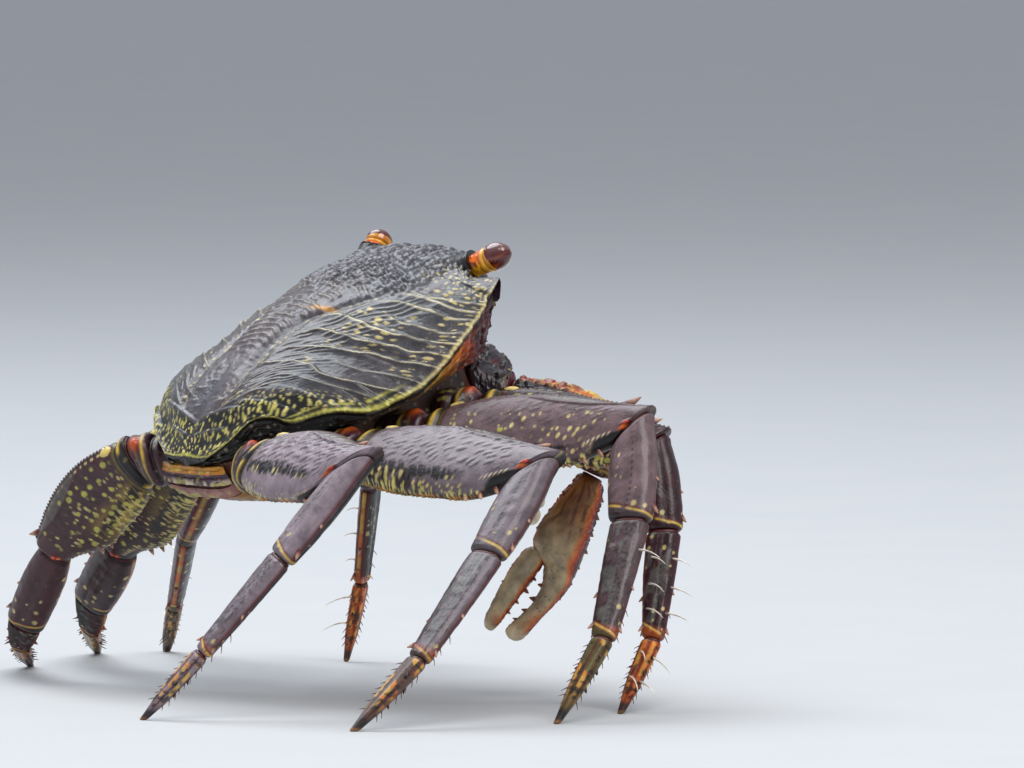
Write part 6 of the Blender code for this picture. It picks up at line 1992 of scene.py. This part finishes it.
def make_abdomen():
    rows = np.array(ABDOMEN)
    for number, (start, end, main, second) in enumerate(TERGITES):
        v = np.linspace(0.0, 1.0, int(26 + 7 * (end - start)))
        place = start + (end - start) * v
        line = flowing(np.column_stack([np.arange(len(rows)), rows]), place)
        run = np.gradient(line[:, :2], axis=0)
        out = unit(np.stack([run[:, 1], -run[:, 0]], axis=1))
        u = np.linspace(-1.0, 1.0, ABDOMEN_COLUMNS)
        crown = (1 - np.abs(u) ** 4) ** 0.6
        lip = np.clip(1 - np.abs(2 * v - 1) ** 8, 0.0, 1.0) ** 0.5
        rise = ABDOMEN_THICKNESS * line[:, 3:4] * (0.35 + 0.65 * lip[:, None]) * crown[None, :]
        grain = noise(u[None, :] * 9 + number, place[:, None] * 3, number)
        wave = noise(u[None, :] * 5, place[:, None] * 0.3 + number, 3)
        rise = (
            rise + 0.004 * (grain - 0.5) * crown
            - 0.006 * bell(v[:, None], 0.30 + 0.1 * wave, 0.05) * crown
        )
        x = line[:, 2:3] * u[None, :] * (0.985 + 0.015 * lip[:, None])
        y = line[:, 0:1] + out[:, 0:1] * rise
        z = line[:, 1:2] + out[:, 1:2] * rise
        outer = body(x, y, z)
        inner = body(x[:, ::-1], line[:, 0:1] + 0 * x, line[:, 1:2] + 0 * x)
        rings = np.concatenate([outer, inner], axis=1)
        paint = mix(main, main * 0.6, grain)
        blobs = patches(u[None, :] * 11, place[:, None] * 1.4, number + 1, 0.45, 0.65)
        paint = layers(
            paint,
            (second, 0.8 * blobs * smooth(v[:, None], 0.40, 0.6)),
            (YELLOW_GREEN, 0.7 * bell(v[:, None], 0.80 + 0.08 * wave, 0.05) * (number < 5)),
            (BLACK, 0.85 * fade(lip, 0.2, 0.7)[:, None] + 0 * paint[..., 0]),
        )
        paint = np.concatenate([paint, paint[:, ::-1]], axis=1)
        piece = Piece(f"tergite_{number + 1}", "abdomen", "underside", BELLY_LOOK)
        piece.cover(rings, paint, 0.25, 0.0)
        piece.make()


MOUTHPART_GRID = (90, 84)
MOUTHPART = dict(inner=0.012, outer=0.135, low=-0.315, high=-0.165, thick=0.036)


def make_mouthparts():
    m = MOUTHPART
    v = np.linspace(0.0, 1.0, MOUTHPART_GRID[0])
    a = np.linspace(0.0, 2 * math.pi, MOUTHPART_GRID[1], endpoint=False)[None, :]
    narrow = flowing([(0.0, 0.45), (0.25, 0.85), (0.6, 1.0), (1.0, 0.8)], v)[:, 0:1]
    z = (m["low"] + (m["high"] - m["low"]) * v)[:, None] + 0 * a
    middle, half = (m["inner"] + m["outer"]) / 2, (m["outer"] - m["inner"]) / 2
    ends = np.clip(1 - np.abs(2 * v[:, None] - 1) ** 12, 0.02, 1.0) ** 0.5
    across = np.cos(a)
    bulge = np.maximum(np.sin(a), 0.0) ** 0.7 * (m["thick"] - 0.006) * ends
    joint = bell(v[:, None], 0.62 - 0.06 * across, 0.018)
    groove = bell(across, 0.25, 0.10)
    relief = -0.010 * joint - 0.006 * groove + 0.004 * (noise(across * 9, v[:, None] * 14, 4) - 0.5)
    y = FACE_Y + 0.008 + bulge + relief * (np.sin(a) > 0.1)
    grain = noise(across * 7, v[:, None] * 11, 5)
    for side, sign in (("right", 1), ("left", -1)):
        points = body(sign * (middle + half * narrow * across), y, z)
        paint = mix(MUSTARD * 0.8, CREAM * 0.7, grain)
        paint = layers(
            paint,
            (PURPLE, 0.7 * patches(across * 4, v[:, None] * 6, 6, 0.45, 0.7)),
            (DARK_RED, 0.9 * np.maximum(joint, 0.8 * groove)),
            (ORANGE, 0.6 * smooth(across, 0.75, 0.95)),
        )
        name = "mouthpart_" + side
        piece = Piece("jawfoot_" + side, name, "underside", BELLY_LOOK)
        piece.cover(points, paint, 0.2, 0.05)
        piece.make()


make_flanks()
make_face()
make_thorax()
make_abdomen()
make_mouthparts()


# Light, floor and camera

LOOK_AT = (0.0365, -0.0082)
CAMERA_TURN = math.radians(32.0)
CAMERA_RISE = math.radians(3.0)
CAMERA_DISTANCE = 2.5
FRAME_WIDTH = 0.186
SENSOR = 36.0
FLOOR_HALF = 14.0
# Way from the part (towards the camera, to its right and up), distance, size, power and colour
LIGHTS = (
    ("key", (0.9, 0.5, 1.3), 1.2, 0.8, 9.5, (1.0, 0.98, 0.95)),
    ("sky", (-0.5, -0.5, 1.3), 1.4, 1.3, 19.0, (0.90, 0.95, 1.0)),
)


def place_object(obj, x_axis, y_axis, z_axis, location):
    matrix = np.eye(4)
    matrix[:3, 0], matrix[:3, 1], matrix[:3, 2], matrix[:3, 3] = x_axis, y_axis, z_axis, location
    obj.matrix_world = [list(row) for row in matrix.T]


def make_camera():
    across = np.array([-math.sin(CAMERA_TURN), -math.cos(CAMERA_TURN), 0.0])
    level = np.array([-math.cos(CAMERA_TURN), math.sin(CAMERA_TURN), 0.0])
    back = math.cos(CAMERA_RISE) * level + math.sin(CAMERA_RISE) * UP
    top = -math.sin(CAMERA_RISE) * level + math.cos(CAMERA_RISE) * UP
    target = CENTRE + LOOK_AT[0] * across + LOOK_AT[1] * top
    data = bpy.data.cameras.new("camera")
    data.sensor_width = SENSOR
    data.lens = SENSOR * CAMERA_DISTANCE / FRAME_WIDTH
    data.clip_end = 100.0
    camera = bpy.data.objects.new("camera", data)
    bpy.context.scene.collection.objects.link(camera)
    place_object(camera, across, top, back, target + back * CAMERA_DISTANCE)
    bpy.context.scene.camera = camera
    return across, top, back


def add_light(name, direction, distance, size, power, colour):
    data = bpy.data.lights.new(name, "AREA")
    data.shape = "DISK"
    data.size = size
    data.energy = power
    data.color = colour
    light = bpy.data.objects.new(name, data)
    bpy.context.scene.collection.objects.link(light)
    back = unit(np.array(direction))
    side = unit(np.cross(UP, back))
    place_object(light, side, np.cross(back, side), back, CENTRE + back * distance)


def make_stage():
    mesh = bpy.data.meshes.new("floor")
    corners = [(x * FLOOR_HALF, y * FLOOR_HALF, 0) for x, y in ((-1, -1), (1, -1), (1, 1), (-1, 1))]
    mesh.from_pydata(corners, [], [(0, 1, 2, 3)])
    floor = bpy.data.objects.new("floor", mesh)
    bpy.context.scene.collection.objects.link(floor)
    paper = bpy.data.materials.new("paper")
    paper.use_nodes = True
    tree = paper.node_tree
    place = node(tree, "ShaderNodeTexCoord", {}).outputs["Object"]
    grain = node(tree, "ShaderNodeTexNoise", {"Vector": place, "Scale": 30.0, "Detail": 3.0}).outputs["Fac"]
    shade = blend_colours(tree, "MIX", grain, (0.49, 0.50, 0.51, 1.0), (0.53, 0.53, 0.535, 1.0))
    socket(tree, tree.nodes["Principled BSDF"].inputs["Base Color"], shade)
    tree.nodes["Principled BSDF"].inputs["Roughness"].default_value = 0.85
    mesh.materials.append(paper)
    world = bpy.data.worlds.new("studio")
    bpy.context.scene.world = world
    world.use_nodes = True
    world.node_tree.nodes["Background"].inputs["Color"].default_value = (0.80, 0.86, 0.95, 1.0)
    world.node_tree.nodes["Background"].inputs["Strength"].default_value = 0.62


bpy.context.scene.view_settings.view_transform = "Standard"
make_stage()
across, top, back = make_camera()
for name, (towards, aside, above), *settings in LIGHTS:
    add_light(name, towards * back + aside * across + above * top, *settings)
